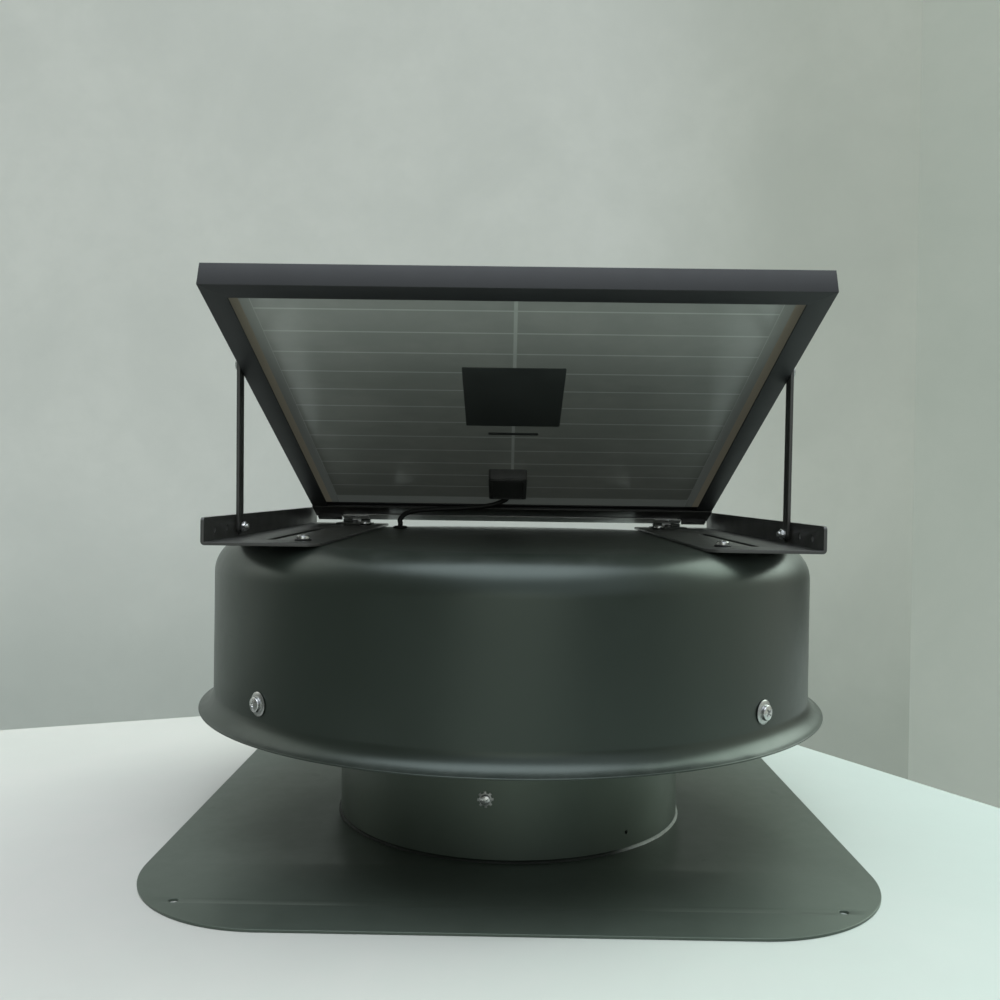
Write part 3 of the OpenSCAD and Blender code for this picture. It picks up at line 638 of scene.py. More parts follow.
# the flashing and neck get a lighter copy of the hood's paint: painted light for the shade they sit
# in under the hood
lit_base_paint = coated("flashing_paint_lit_v", (0.0480, 0.0600, 0.0490), rough=0.40, dust_and_top_light=0.02,
                    spec=0.95, tint=(0.84, 1.0, 0.86), tone=0.08, vary=0.6)
black_coat = coated("black_coat_v", (0.0400, 0.0405, 0.0380), rough=0.40, dust_and_top_light=0.03, tone=0.2,
                    edge=0.25, spec=0.75)
frame_black = coated("frame_black_v", (0.0200, 0.0215, 0.0225), rough=0.56, peel=0.000006,
                     dust_and_top_light=0.03, tone=0.10, edge=0.2, vary=0.5)
zinc = metal("zinc_steel_v", (0.56, 0.57, 0.56), rough=0.30)
stainless = metal("stainless_v", (0.66, 0.67, 0.66), rough=0.24, stain=0.18)
galvanised = metal("galvanised_v", (0.42, 0.44, 0.44), rough=0.42, stain=0.3)
casting = metal("motor_casting_v", (0.12, 0.125, 0.13), rough=0.5, stain=0.3, metallic=0.6)
copper = metal("winding_copper_v", (0.62, 0.26, 0.10), rough=0.35, stretch=(1.0, 1.0, 60.0))
magnet = metal("magnet_steel_v", (0.20, 0.20, 0.21), rough=0.35)
fan_alu = metal("fan_aluminium_v", (0.60, 0.61, 0.62), rough=0.33, stretch=(24.0, 1.0, 1.0),
                stain=0.15)
strip_alu = metal("strip_aluminium_v", (0.62, 0.63, 0.62), rough=0.42, stretch=(0.03, 1.0, 1.0),
                  stain=0.12, metallic=0.15)
leaf_dark = metal("hinge_leaf_dark_v", (0.10, 0.11, 0.10), rough=0.45, stain=0.3, metallic=0.6)
zinc_bright = metal("zinc_bright_v", (0.86, 0.87, 0.85), rough=0.34, stain=0.10, metallic=0.12)
tooth_steel = metal("tooth_steel_v", (0.42, 0.43, 0.42), rough=0.40, stain=0.3, metallic=0.85)
screw_dark = metal("screw_black_zinc_v", (0.16, 0.165, 0.16), rough=0.42, stain=0.25,
                   metallic=0.7)
hub_plastic = plastic("hub_plastic_v", (0.035, 0.037, 0.038), rough=0.45)
rubber = plastic("cable_rubber_v", (0.010, 0.0105, 0.010), rough=0.52, grain=0.00004, scale=900.0)
# the junction box plastic is lighter than black plastic's own colour: partly painted light for its
# deep shade under the panel
lightened_box_plastic = plastic("black_plastic_v", (0.085, 0.088, 0.086), rough=0.42, scale=2200.0)
lightened_lid_plastic = plastic("black_plastic_lid_v", (0.085, 0.088, 0.086), rough=0.40, grain=0.00002,
                      scale=2600.0)


# ------------------------------------------------------------------ panel and sealant materials
def backsheet_material():
    """Greyish film, with the cells and the gaps between them showing through."""
    mat = Shader("backsheet_film_v")
    x, v = mat.panel_coords()
    pitch = CELL_PITCH * MM
    rows_l = CELL_ROWS * pitch
    from_first = mat.math("SUBTRACT", v, CELL_V * MM)
    phase = mat.math("MODULO", mat.plus(from_first, pitch * 4), pitch)
    off_centre = mat.math("ABSOLUTE", x)
    # soft-edged masks, limits in metres
    in_row = mat.times(mat.ramp(phase, 0.0, 0.0006), mat.ramp(phase, 0.0322, 0.0316))
    in_column = mat.times(mat.ramp(off_centre, 0.0010, 0.0019),
                          mat.ramp(off_centre, 0.1984, 0.1976))
    in_rows = mat.times(mat.ramp(from_first, 0.0, 0.0006),
                        mat.ramp(from_first, rows_l - 0.0012, rows_l - 0.0018))
    cell = mat.times(in_row, in_column, in_rows)
    margin = mat.ramp(off_centre, 0.1982, 0.1988)
    side_edge = mat.ramp(off_centre, 0.2062, 0.2070)

    broad = mat.noise(16.0, detail=4.0, rough=0.6)
    cell_color = mat.tones(broad, (0.205, 0.222, 0.207), (0.235, 0.250, 0.232))
    streak = mat.noise(30.0, detail=3.0, rough=0.6, stretch=(0.35, 1.0, 1.0), seed=6.0)
    cell_color = mat.tones(streak, cell_color, (0.18, 0.20, 0.185), lo=0.4, hi=0.7, to=(0.0, 0.5))
    gap_color = mat.tones(broad, (0.30, 0.33, 0.31), (0.35, 0.375, 0.35), lo=0.3, hi=0.7)
    gap_color = mat.mix(margin, gap_color, (0.185, 0.200, 0.185))
    gap_color = mat.mix(side_edge, gap_color, (0.27, 0.255, 0.195))

    # low emission stands in for daylight through the laminate: more in the gaps and further up
    lower = mat.mix(cell, (0.032, 0.036, 0.033), (0.0170, 0.0190, 0.0165))
    upper = mat.mix(cell, (0.064, 0.073, 0.064), (0.050, 0.056, 0.050))
    glow = mat.mix(mat.ramp(v, 0.30, 0.47), lower, upper)
    glow = mat.mix(side_edge, glow, (0.044, 0.042, 0.032))
    ripple = mat.noise(260.0, detail=3.0, rough=0.6, seed=4.0)
    relief = mat.plus(mat.times(cell, 0.6), mat.times(ripple, 0.5))
    return mat.finish(color=mat.mix(cell, gap_color, cell_color), spec=0.6, emit=glow, glow=1.0,
                      rough=mat.ramp(broad, 0.3, 0.7, to=(0.20, 0.27)),
                      normal=mat.bump(relief, distance=0.00006, strength=0.6))


def cell_material():
    """Dark silicon strip with fine contact fingers."""
    mat = Shader("cell_silicon_v")
    x, v = mat.panel_coords()
    broad = mat.noise(12.0, detail=3.0, rough=0.5)
    color = mat.tones(broad, (0.006, 0.009, 0.020), (0.009, 0.014, 0.032))
    # a pseudo-random tint for each row of each column
    row = mat.math("DIVIDE", mat.math("SUBTRACT", v, CELL_V * MM), CELL_PITCH * MM)
    cell_id = mat.plus(mat.math("FLOOR", row), mat.times(mat.math("SIGN", x), 7.3))
    scatter = mat.math("SINE", mat.times(cell_id, 12.9898))
    tint = mat.math("FRACT", mat.times(scatter, 43.758))
    color = mat.mix(mat.times(tint, 0.45), color, (0.012, 0.016, 0.026))
    # fingers every 1.8 mm
    phase = mat.math("MODULO", mat.plus(v, 0.5), 0.0018)
    finger = mat.times(mat.ramp(phase, 0.0, 0.00004), mat.ramp(phase, 0.00018, 0.00014))
    color = mat.mix(mat.times(finger, 0.16), color, (0.32, 0.33, 0.34))
    gloss = mat.plus(mat.ramp(broad, 0.3, 0.7, to=(0.27, 0.34)), mat.times(finger, 0.1))
    grain = mat.noise(5000.0, detail=2.0, rough=0.5, seed=3.0)
    return mat.finish(color=color, rough=gloss, spec=0.6,
                      normal=mat.bump(grain, distance=0.000004, strength=0.6))


def glass_material():
    """Slightly dusty glass that lets shadow and diffuse rays straight through."""
    mat = Shader("panel_glass_v")
    waves = mat.noise(700.0, detail=2.0, rough=0.5)
    dusty = mat.noise(24.0, detail=6.0, rough=0.7, seed=5.0)
    mat.finish(color=(0.93, 0.965, 0.95), rough=mat.ramp(dusty, 0.35, 0.7, to=(0.07, 0.11)),
               trans=1.0, ior=1.5, normal=mat.bump(waves, distance=0.00001, strength=0.5))
    ray = mat.node("ShaderNodeLightPath").outputs
    clear = mat.node("ShaderNodeBsdfTransparent")
    mat.put(clear.inputs["Color"], (0.86, 0.90, 0.88))
    mixer = mat.node("ShaderNodeMixShader")
    mat.link(mat.math("MAXIMUM", ray["Is Shadow Ray"], ray["Is Diffuse Ray"]), mixer.inputs[0])
    mat.link(mat.bsdf.outputs[0], mixer.inputs[1])
    mat.link(clear.outputs[0], mixer.inputs[2])
    mat.link(mixer.outputs[0], mat.tree.nodes["Material Output"].inputs["Surface"])
    return mat.material


def label_material():
    mat = Shader("label_film_v")
    broad = mat.noise(30.0, detail=4.0, rough=0.6)
    grain = mat.noise(900.0, detail=2.0, rough=0.5, seed=3.0)
    return mat.finish(color=mat.tones(broad, (0.052, 0.058, 0.056), (0.062, 0.069, 0.066)),
                      rough=mat.ramp(broad, 0.3, 0.7, to=(0.40, 0.5)), spec=0.35,
                      normal=mat.bump(grain, distance=0.00002, strength=0.5))


def sealant_material():
    """Run of sealant, as dark as the paint for most of the way round, with a pale painted highlight
    at the front right.
    """
    mat = Shader("sealant_v")
    fine = mat.noise(300.0, detail=3.0, rough=0.6)
    broad = mat.noise(45.0, detail=4.0, rough=0.6, seed=2.0)
    # painted highlight: the bead turns pale at the front right, where light from the right catches
    # it
    painted_highlight_mask = mat.times(mat.ramp(mat.along((1, 0, 0)), 0.082, 0.116),
                     mat.ramp(mat.along((0, -1, 0)), -0.02, 0.02))
    painted = mat.tones(broad, (0.012, 0.015, 0.012), (0.018, 0.022, 0.018))
    highlight_color = mat.tones(fine, (0.40, 0.43, 0.40), (0.50, 0.53, 0.49))
    return mat.finish(color=mat.mix(painted_highlight_mask, painted, highlight_color), spec=0.2,
                      rough=mat.ramp(fine, 0.3, 0.7, to=(0.50, 0.62)),
                      normal=mat.bump(fine, distance=0.0001, strength=0.6))


backsheet, cell_silicon = backsheet_material(), cell_material()
panel_glass, label_film = glass_material(), label_material()
sealant = sealant_material()

# CAD nodes of each material, the rest are black
NODE_MATERIALS = {node: material for material, nodes in (
    (lit_base_paint, "flashing neck_collar"),
    (sealant, "neck_seam_bead"),
    (hood_paint, "hood_shell"),
    (galvanised, "hood_support_arms motor_mount inlet_guard guard_clips"),
    (zinc, "support_arm_rivets hood_screw_washers hood_screw_nuts neck_star_washers "
           "motor_bearings motor_fixing_screws motor_shaft fan_lock_nut bracket_nuts "
           "hinge_lower_nuts"),
    (stainless, "hood_screws neck_screws"),
    (casting, "motor_housing motor_end_cap"),
    (copper, "motor_stator"),
    (magnet, "motor_rotor"),
    (hub_plastic, "fan_hub"),
    (fan_alu, "fan_blades"),
    (rubber, "motor_cable cable_grommet panel_cable"),
) for node in nodes.split()}


def paint_cad_nodes():
    cad = {o.get("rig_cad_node"): o for o in bpy.context.scene.objects if o.get("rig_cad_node")}
    for node, ob in cad.items():
        material = NODE_MATERIALS.get(node, black_coat)
        if not ob.material_slots:
            ob.data.materials.append(material)
        for slot in ob.material_slots:
            slot.material = material


paint_cad_nodes()


# ------------------------------------------------------------------ hood, neck, flashing
def hood_shell():
    """Spun shell: flat top, round shoulder, straight wall, flare and a rounded brim edge."""
    top_flat_r = HOOD_R - SHOULDER_R
    shoulder_z = HOOD_TOP - SHOULDER_R
    flare_x = HOOD_R + FLARE_R
    flare_end, mid_r = 255, FLARE_R + HOOD_WALL / 2
    edge_x = BRIM_R - HOOD_WALL / 2
    edge_z = (FLARE_Z + mid_r * sind(flare_end)
              - (edge_x - flare_x - mid_r * cosd(flare_end)) * math.tan(rad(15)))
    outside = [(r, HOOD_TOP) for r in (0.0, 40.0, 90.0, 140.0, 190.0, 220.0)]
    outside += arc(top_flat_r, shoulder_z, SHOULDER_R, 90, 0, 28)
    outside += [(HOOD_R, z) for z in (205.0, 180.0, 155.0, 138.0, 129.0)]
    outside += arc(flare_x, FLARE_Z, FLARE_R, 180, flare_end, 26)
    edge = arc(edge_x, edge_z, HOOD_WALL / 2, 75, -105, 12)
    inside = arc(flare_x, FLARE_Z, FLARE_R + HOOD_WALL, flare_end, 180, 20)
    inside += [(HOOD_R - HOOD_WALL, z) for z in (140.0, 180.0)]
    inside += arc(top_flat_r, shoulder_z, SHOULDER_R - HOOD_WALL, 0, 90, 16)
    inside += [(120.0, HOOD_TOP - HOOD_WALL), (0.0, HOOD_TOP - HOOD_WALL)]

    def spun(r, z, turn):
        """Almost invisible circular chatter on the wall."""
        if r > 250 and 128 < z < 220:
            chatter = 0.05 * math.sin(z * 0.9) * math.sin((z - 128) / 92 * math.pi)
            return r + chatter + 0.05 * math.sin(3 * turn + 1.0), z
        return r, z

    part = Part()
    lathe(part, dedupe(outside + edge + inside), 360, wobble=spun)
    part.fit("hood", hood_paint, 40, "base", "hood_paint", "hood_shell")


def cut(ob, cutter):
    """Subtracts the cutter from a piece for good and removes it."""
    modifier = ob.modifiers.new("cut", "BOOLEAN")
    modifier.operation, modifier.solver, modifier.object = "DIFFERENCE", "EXACT", cutter
    evaluated = ob.evaluated_get(bpy.context.evaluated_depsgraph_get())
    mesh = bpy.data.meshes.new_from_object(evaluated)
    materials = list(ob.data.materials)
    ob.modifiers.clear()
    ob.data = mesh
    mesh.materials.clear()
    for material in materials:
        mesh.materials.append(material)
    shade(mesh, 35)
    bpy.data.objects.remove(cutter)


def neck_collar():
    """Tube with a rounded top rim and one small hole low at the front right."""
    rim_r = 0.7
    profile = [(NECK_R, z) for z in (0.4, 30.0, 80.0, 130.0, NECK_H - rim_r)]
    profile += arc(NECK_R - rim_r, NECK_H - rim_r, rim_r, 0, 90, 4)
    profile += arc(NECK_INNER_R + rim_r, NECK_H - rim_r, rim_r, 90, 180, 4)
    profile += [(NECK_INNER_R, 100.0), (NECK_INNER_R, 0.4), (NECK_INNER_R + 0.4, 0.0),
                (NECK_R - 0.4, 0.0)]
    part = Part()
    lathe(part, dedupe(profile), 288)
    neck = part.make("neck", 35, lit_base_paint)

    drill_r, drill_l = 1.6, 8
    drill = Part()
    lathe(drill, [(0, 0), (drill_r, 0), (drill_r, drill_l), (0, drill_l)], 32,
          radial(-51.5, NECK_R - 4, 16.5))
    cut(neck, drill.make("drill", 32, lit_base_paint))
    fit(neck, "base", "neck_collar")


def neck_seal():
    """Bead of sealant where the neck meets the flashing."""
    # (distance out from the neck, z)
    bead = [(0.05, 2.0), (2.0, 2.0), (1.85, 2.6), (1.45, 3.2), (0.8, 3.7), (0.3, 3.95), (0.05, 4.0)]

    def uneven(r, z, turn):
        ripple = (0.10 * math.sin(17 * turn) + 0.08 * math.sin(41 * turn + 1.3)
                  + 0.05 * math.sin(97 * turn + 0.4))
        return (r - 0.15 + ripple if r > NECK_R + 0.5 else r), z

    part = Part()
    lathe(part, [(NECK_R + out, z) for out, z in bead], 360, wobble=uneven)
    part.fit("neck_seal", sealant, 60, "base", "sealant", "neck_seam_bead")


def roof_flashing():
    half, hole_at, hole_r = FLASHING_SIDE / 2, 236, 3.25
    holes = [circle(0, 0, NECK_R + 0.05, 180)]
    holes += [circle(sx * hole_at, sy * hole_at, hole_r, 32) for sx in SIDES for sy in SIDES]
    part = Part()
    plate(part, rrect(-half, -half, half, half, FLASHING_CORNER, 40), holes,
          0, FLASHING_THICK, 0.45, as_is, steps=4)
    part.fit("roof_flashing", lit_base_paint, 35, "base", "hood_paint", "flashing")


hood_shell()
neck_collar()
neck_seal()
roof_flashing()


# ------------------------------------------------------------------ hood and neck fasteners
def hood_fasteners():
    # (r, height)
    washer = [(3.05, 0.0), (8.9, 0.0), (9.25, 0.25), (9.3, 0.6), (8.9, 0.95), (7.4, 1.3),
              (6.2, 1.48), (4.0, 1.5), (3.05, 1.45)]
    screws, washers = Part(), Part()
    for angle, spin in zip(HOOD_SCREW_ANGLES, (12, 31, 8, 38)):
        screw(screws, radial(angle, HOOD_R + 1.8, HOOD_SCREW_Z), head_r=6.0, head_h=3.6,
              shank_r=2.95, shank_l=13.2, drive_r=3.9, spin=spin)
        lathe(washers, washer, 72, radial(angle, HOOD_R + 0.28, HOOD_SCREW_Z))
    screws.fit("hood_screw_heads", stainless, 38, "base", "zinc_steel", "hood_screws")
    washers.fit("hood_washers", zinc, 30, "base", "zinc_steel", "hood_screw_washers")


def neck_fasteners():
    """Screws with nuts inside the neck, and star washers of eight teeth."""
    # (degrees from the middle of a tooth, r)
    tooth = [(-11.0, 5.1), (-9.0, 6.5), (0.0, 6.6), (9.0, 6.5), (11.0, 5.1), (22.5, 5.0)]
    star = [(r * cosd(i * 45.0 + turn), r * sind(i * 45.0 + turn))
            for i in range(8) for turn, r in tooth]
    screws, washers = Part(), Part()
    for angle, spin in zip(NECK_SCREW_ANGLES, (20, 5, 33)):
        screw(screws, radial(angle, NECK_R + 0.95, NECK_SCREW_Z), head_r=4.2, head_h=2.8,
              shank_r=2.5, shank_l=8.5, drive_r=2.9, spin=spin)
        hexnut(screws, radial(angle, NECK_R - 4.7, NECK_SCREW_Z, out=-1), flats=8, h=3, bore=2.5)
        plate(washers, star, [circle(0, 0, 2.6, 32)], 0.0, 0.9, 0.12,
              radial(angle, NECK_R + 0.05, NECK_SCREW_Z, spin=4), steps=2)
    screws.fit("neck_screw_heads", stainless, 38, "base", "zinc_steel", "neck_screws")
    washers.fit("neck_lock_washers", tooth_steel, 30, "base", "zinc_steel", "neck_star_washers")


hood_fasteners()
neck_fasteners()

# ------------------------------------------------------------------ brackets: one bent sheet each
# u runs along the sheet from the inner edge of the shelf, round the bend and up the leg
FLAT_L = LEG_OUT - BEND_R - FOOT_IN
BEND_MID_R = BEND_R - BRACKET_THICK / 2
LEG_U = FLAT_L + BEND_MID_R * math.pi / 2


def bent(side):
    """Places the flat sheet (u, y, height in the thickness) as shelf, bend and leg."""
    def place(p):
        u, y, t = p
        if u <= FLAT_L:
            x, z = FOOT_IN + u, HOOD_TOP + t
        elif u < LEG_U:
            angle, r = (u - FLAT_L) / BEND_MID_R, BEND_R - t
            x, z = LEG_OUT - BEND_R + r * math.sin(angle), LEG_FOOT - r * math.cos(angle)
        else:
            x, z = LEG_OUT - t, LEG_FOOT + (u - LEG_U)
        return (side * x, y, z)

    return place


def bracket(side, name, node):
    front_y, rear_y, hole_pitch = -202.0, 232.0, 33
    slot_u, slot_front, slot_rear, slot_r = 189.5 - FOOT_IN, -154.5, 56.5, 3.4
    screw_u = BRACKET_SCREW_X - FOOT_IN
    holes = [
        arc(slot_u, slot_front, slot_r, 180, 360, 12) + arc(slot_u, slot_rear, slot_r, 0, 180, 12),
        circle(screw_u, -BRACKET_SCREW_Y, 2.6, 24), circle(screw_u, BRACKET_SCREW_Y, 2.6, 24),
        circle(HINGE_X - FOOT_IN, LEAF_SCREW_Y, 2.1, 24)]
    pivot_u = LEG_U + (PIVOT_Z - LEG_FOOT)
    holes += [circle(pivot_u, PIVOT_Y - k * hole_pitch, 2.6, 28) for k in range(3)]
    sheet = Part()
    plate(sheet, rrect(0, front_y, LEG_U + LEG_H, rear_y, (12, 3, 3, 12), 8), holes,
          0.0, BRACKET_THICK, 0.3, as_is)

    flat = bpy.data.meshes.new("flat")
    flat.from_pydata(sheet.verts, [], sheet.faces)
    bm = bmesh.new()
    bm.from_mesh(flat)
    bmesh.ops.remove_doubles(bm, verts=bm.verts, dist=1e-5)
    # extra edges across the bend let it curve
    for k in range(9):
        bmesh.ops.bisect_plane(bm, geom=bm.verts[:] + bm.edges[:] + bm.faces[:], dist=1e-6,
                               plane_co=(FLAT_L + (LEG_U - FLAT_L) * k / 8, 0, 0),
                               plane_no=(1, 0, 0))
    place = bent(side)
    for vert in bm.verts:
        vert.co = [c * MM for c in place(tuple(vert.co))]
    bmesh.ops.recalc_face_normals(bm, faces=bm.faces)
    mesh = bpy.data.meshes.new(name)
    bm.to_mesh(mesh)
    bm.free()
    bpy.data.meshes.remove(flat)
    shade(mesh, 28)
    mesh.materials.append(black_coat)
    fit(add_object(name, mesh), "base", node)


def bracket_fasteners():
    # (r, height above the shelf)
    washer = [(2.55, 0.05), (6.2, 0.0), (6.5, 0.35), (6.45, 0.9), (5.9, 1.4), (5.2, 1.5),
              (2.55, 1.5)]
    places = [(sx * BRACKET_SCREW_X, sy * BRACKET_SCREW_Y) for sx in SIDES for sy in SIDES]
    screws, washers = Part(), Part()
    for (x, y), spin in zip(places, (17, 41, 66, 5)):
        screw(screws, at((x, y, SHELF + 1.55), (0, 0, 1)), head_r=5.0, head_h=3.2,
              shank_r=2.5, shank_l=9.5, drive_r=3.3, spin=spin)
        lathe(washers, [(r, SHELF + z) for r, z in washer], 48, centre=(x, y))
    screws.fit("bracket_screw_heads", stainless, 38, "base", "zinc_steel", "bracket_screws")
    washers.fit("bracket_seals", rubber, 40, "base", "cable_rubber", "bracket_sealing_washers")


bracket(-1, "support_bracket_left", "bracket_left")
bracket(1, "support_bracket_right", "bracket_right")
bracket_fasteners()


# ------------------------------------------------------------------ hinges
def lower_leaves():
    """Leaf on the shelf with an outer pair of knuckles round the pin."""
    tail_y = HINGE_Y - 4.5
    knuckle = [(tail_y, SHELF)] + arc(HINGE_Y, HINGE_Z, KNUCKLE_R, -90, 210, 40)
    knuckle += [(tail_y, SHELF + LEAF_THICK)]
    part = Part()
    for side in SIDES:
        plate(part, rrect(HINGE_X - 20, 192, HINGE_X + 20, 217, (2.5, 2.5, 0.3, 0.3), 6),
              [circle(HINGE_X, LEAF_SCREW_Y, 2.1, 24)], SHELF, SHELF + LEAF_THICK, 0.25,
              mirror(side))
        for start in (HINGE_X - 15, HINGE_X + 5.2):
            plate(part, knuckle, [circle(HINGE_Y, HINGE_Z, 1.53, 24)], start, start + 9.8, 0.2,
                  across(mirror(side)))
    part.fit("hinge_leaf_lower", leaf_dark, 30, "base", "zinc_steel", "hinge_lower_leaves")


def upper_leaves():
    """Leaf under the panel with the middle knuckle."""
    low, high = 1.4, 1.4 + LEAF_THICK
    knuckle = [(3.4, low), (3.4, high), (0.4, high)] + arc(0, 0, KNUCKLE_R, 90, 392.6, 44)
    part = Part()
    for side in SIDES:
        plate(part, rrect(HINGE_X - 15, 2.9, HINGE_X + 15, 14, (0.3, 0.3, 2.0, 2.0), 6),
              [circle(HINGE_X, RIVET_V, 1.65, 20)], low, high, 0.25, mirror(side, on_panel))
        plate(part, knuckle, [circle(0, 0, 1.56, 24)], HINGE_X - 4.95, HINGE_X + 4.95, 0.2,
              across(mirror(side, on_panel)))
    part.fit("hinge_leaf_upper", zinc_bright, 30, "panel", "zinc_steel", "hinge_upper_leaves")


def hinge_pins():
    # (r, distance along the pin)
    profile = [(0, 0), (1.9, 0), (2.3, 0.3), (2.3, 0.6), (2.1, 0.7), (1.5, 0.7), (1.5, 30.9),
               (2.1, 30.9), (2.3, 31.0), (2.3, 31.3), (1.9, 31.6), (0, 31.6)]
    part = Part()
    for side in SIDES:
        lathe(part, profile, 32, at((side * HINGE_X - 15.8, HINGE_Y, HINGE_Z), (1, 0, 0)))
    part.fit("hinge_pin_pair", zinc_bright, 30, "base", "zinc_steel", "hinge_pins")


def hinge_screws():
    part = Part()
    for side in SIDES:
        screw(part, at((side * HINGE_X, LEAF_SCREW_Y, SHELF + 1.35), (0, 0, 1)), head_r=4.6,
              head_h=2.8, shank_r=2.0, shank_l=9.5, drive_r=3.0, spin=25 + 30 * side)
    part.fit("hinge_leaf_screws", screw_dark, 38, "base", "zinc_steel", "hinge_lower_screws")


def hinge_rivets():
    """Rivets through leaf, strip and angle, with a head at each end."""
    under = PANEL_UNDER
    # (r, w)
    profile = [(0, 0.4), (1.8, 0.42), (2.3, 0.7), (2.4, 1.35), (1.6, 1.35), (1.6, under + 1.55),
               (2.2, under + 1.55), (2.05, under + 2.1), (1.4, under + 2.4), (0, under + 2.45)]
    part = Part()
    for side in SIDES:
        lathe(part, profile, 32, on_panel, centre=(side * HINGE_X, RIVET_V))
    part.fit("hinge_rivets", stainless, 30, "panel", "zinc_steel", "hinge_upper_rivets")


def hinge_strip():
    part = Part()
    plate(part, rrect(-190, -2.4, 190, 14.2, 1.0, 4),
          [circle(side * HINGE_X, RIVET_V, 1.65, 20) for side in SIDES], 2.75, 3.58, 0.2, on_panel)
    part.fit("hinge_backing_strip", strip_alu, 30, "panel", "strip_aluminium", "hinge_strip")


def hinge_angle():
    """Angle along the panel's hinged edge, with a short block under it near each end."""
    # (v, w) outlines
    angle = [(5.6, 3.6), (36.6, 3.6), (36.6, 4.98), (7.48, 4.98), (7.48, 20.6), (5.6, 20.6)]
    block = [(5.6, -0.6), (14.0, -0.6), (14.0, 3.58), (5.6, 3.58)]
    part = Part()
    plate(part, fillet(angle, 0.45, 3), [], -PANEL_W / 2, PANEL_W / 2, 0.25, across(on_panel))
    for start in (-222.0, 195.0):
        plate(part, block, [], start, start + 27.0, 0.4, across(on_panel))
    part.fit("hinge_angle", black_coat, 30, "panel", "black_coat", "hinge_rail")


lower_leaves()
upper_leaves()
hinge_pins()
hinge_screws()
hinge_rivets()
hinge_strip()
hinge_angle()

# ------------------------------------------------------------------ panel frame, mitred corners
# section of a rail: (distance in from the panel's edge, height above its underside)
RAIL_WALL = 1.6
RAIL = fillet([
    (0, 0), (17.5, 0), (17.5, 1.5), (RAIL_WALL, 1.5), (RAIL_WALL, 11.2), (8, 11.2),
    (8, 12.7), (RAIL_WALL, 12.7), (RAIL_WALL, 16.9), (7, 16.9), (7, 18), (0, 18)], 0.38, 3)
MITRE_GAP = 0.04


def rail(name, node, length, place):
    """Mitred bar. place takes (distance along the bar, distance in, height)."""
    n = len(RAIL)
    verts = [place((inward + MITRE_GAP, inward, h)) for inward, h in RAIL]
    verts += [place((length - inward - MITRE_GAP, inward, h)) for inward, h in RAIL]
    triangles = tessellate_polygon([[Vector((a, b, 0)) for a, b in RAIL]])
    faces = band(range(n), range(n, 2 * n)) + [tuple(t) for t in triangles]
    faces += [tuple(n + i for i in reversed(t)) for t in triangles]
    part = Part()
    part.add(verts, faces)
    part.fit(name, frame_black, 30, "panel", "frame_black", node)


HALF_W, PANEL_END = PANEL_W / 2, PANEL_V + PANEL_L
rail("frame_rear", "panel_rail_rear", PANEL_W,
     lambda p: on_panel((-HALF_W + p[0], PANEL_V + p[1], PANEL_UNDER + p[2])))
rail("frame_front", "panel_rail_front", PANEL_W,
     lambda p: on_panel((-HALF_W + p[0], PANEL_END - p[1], PANEL_UNDER + p[2])))
rail("frame_left", "panel_rail_left", PANEL_L,
     lambda p: on_panel((-HALF_W + p[1], PANEL_V + p[0], PANEL_UNDER + p[2])))
rail("frame_right", "panel_rail_right", PANEL_L,
     lambda p: on_panel((HALF_W - p[1], PANEL_V + p[0], PANEL_UNDER + p[2])))

# ------------------------------------------------------------------ laminate and labels
SHEET = rrect(-HALF_W + 2, PANEL_V + 2, HALF_W - 2, PANEL_END - 2, 1.0, 4)


def back_film():
    part = Part()
    plate(part, SHEET, [], SEAT, SEAT + 0.4, 0.05, on_panel, steps=2)
    part.fit("back_film", backsheet, 30, "panel", "backsheet_film", "backsheet")


def cell_strings():
    """Two columns of cell strips with ribbons up them, and a cross ribbon at each end."""
    ribbon_half, cross_half, cross_l = 0.65, 2.2, 190
    part = Part()
    for i in range(CELL_ROWS):
        v = CELL_V + i * CELL_PITCH
        for x in CELL_COLUMNS:
            plate(part, rrect(x, v, x + CELL_W, v + CELL_L, 1.2, 3), [],
                  SEAT + 0.42, SEAT + 0.70, 0.03, on_panel, steps=1)
    for x in CELL_COLUMNS:
        for k in range(5):
            mid = x + CELL_W * (k + 0.5) / 5
            left, right = mid - ribbon_half, mid + ribbon_half
            plate(part, [(left, 30), (right, 30), (right, 476), (left, 476)], [],
                  SEAT + 0.70, SEAT + 0.735, 0.01, on_panel, material=1, steps=1)
    for v in (24.0, 480.0):
        low, high = v - cross_half, v + cross_half
        plate(part, [(-cross_l, low), (cross_l, low), (cross_l, high), (-cross_l, high)], [],
              SEAT + 0.66, SEAT + 0.73, 0.01, on_panel, material=1, steps=1)
    cells = part.make("cell_strings", 30, cell_silicon, zinc)
    fit(cells, "panel", "solar_cells")


def cover_glass():
    part = Part()
    plate(part, SHEET, [], SEAT + 0.75, SEAT + 3.95, 0.4, on_panel)
    part.fit("cover_glass", panel_glass, 30, "panel", "panel_glass", "panel_glass")


def label(name, node, outline, thick, bevel):
    """Blank label under the laminate."""
    part = Part()
    plate(part, outline, [], SEAT - thick, SEAT - 0.02, bevel, on_panel, steps=2)
    part.fit(name, label_film, 30, "panel", "black_plastic", node)


back_film()
cell_strings()
cover_glass()
label("blank_plate", "label_plate", rrect(-44.5, 231, 43.5, 347.5, 1.5, 5), 0.45, 0.12)
label("blank_strip", "label_strip", rrect(-24, 210, 24, 215.2, 1.2, 4), 0.3, 0.08)

# ------------------------------------------------------------------ junction box
BOX_X0, BOX_V0, BOX_X1, BOX_V1 = -25, 62, 15.5, 122


def box_outline(margin, r, n):
    """Outline of the box moved inwards by margin."""
    return rrect(BOX_X0 + margin, BOX_V0 + margin, BOX_X1 - margin, BOX_V1 - margin, r, n)


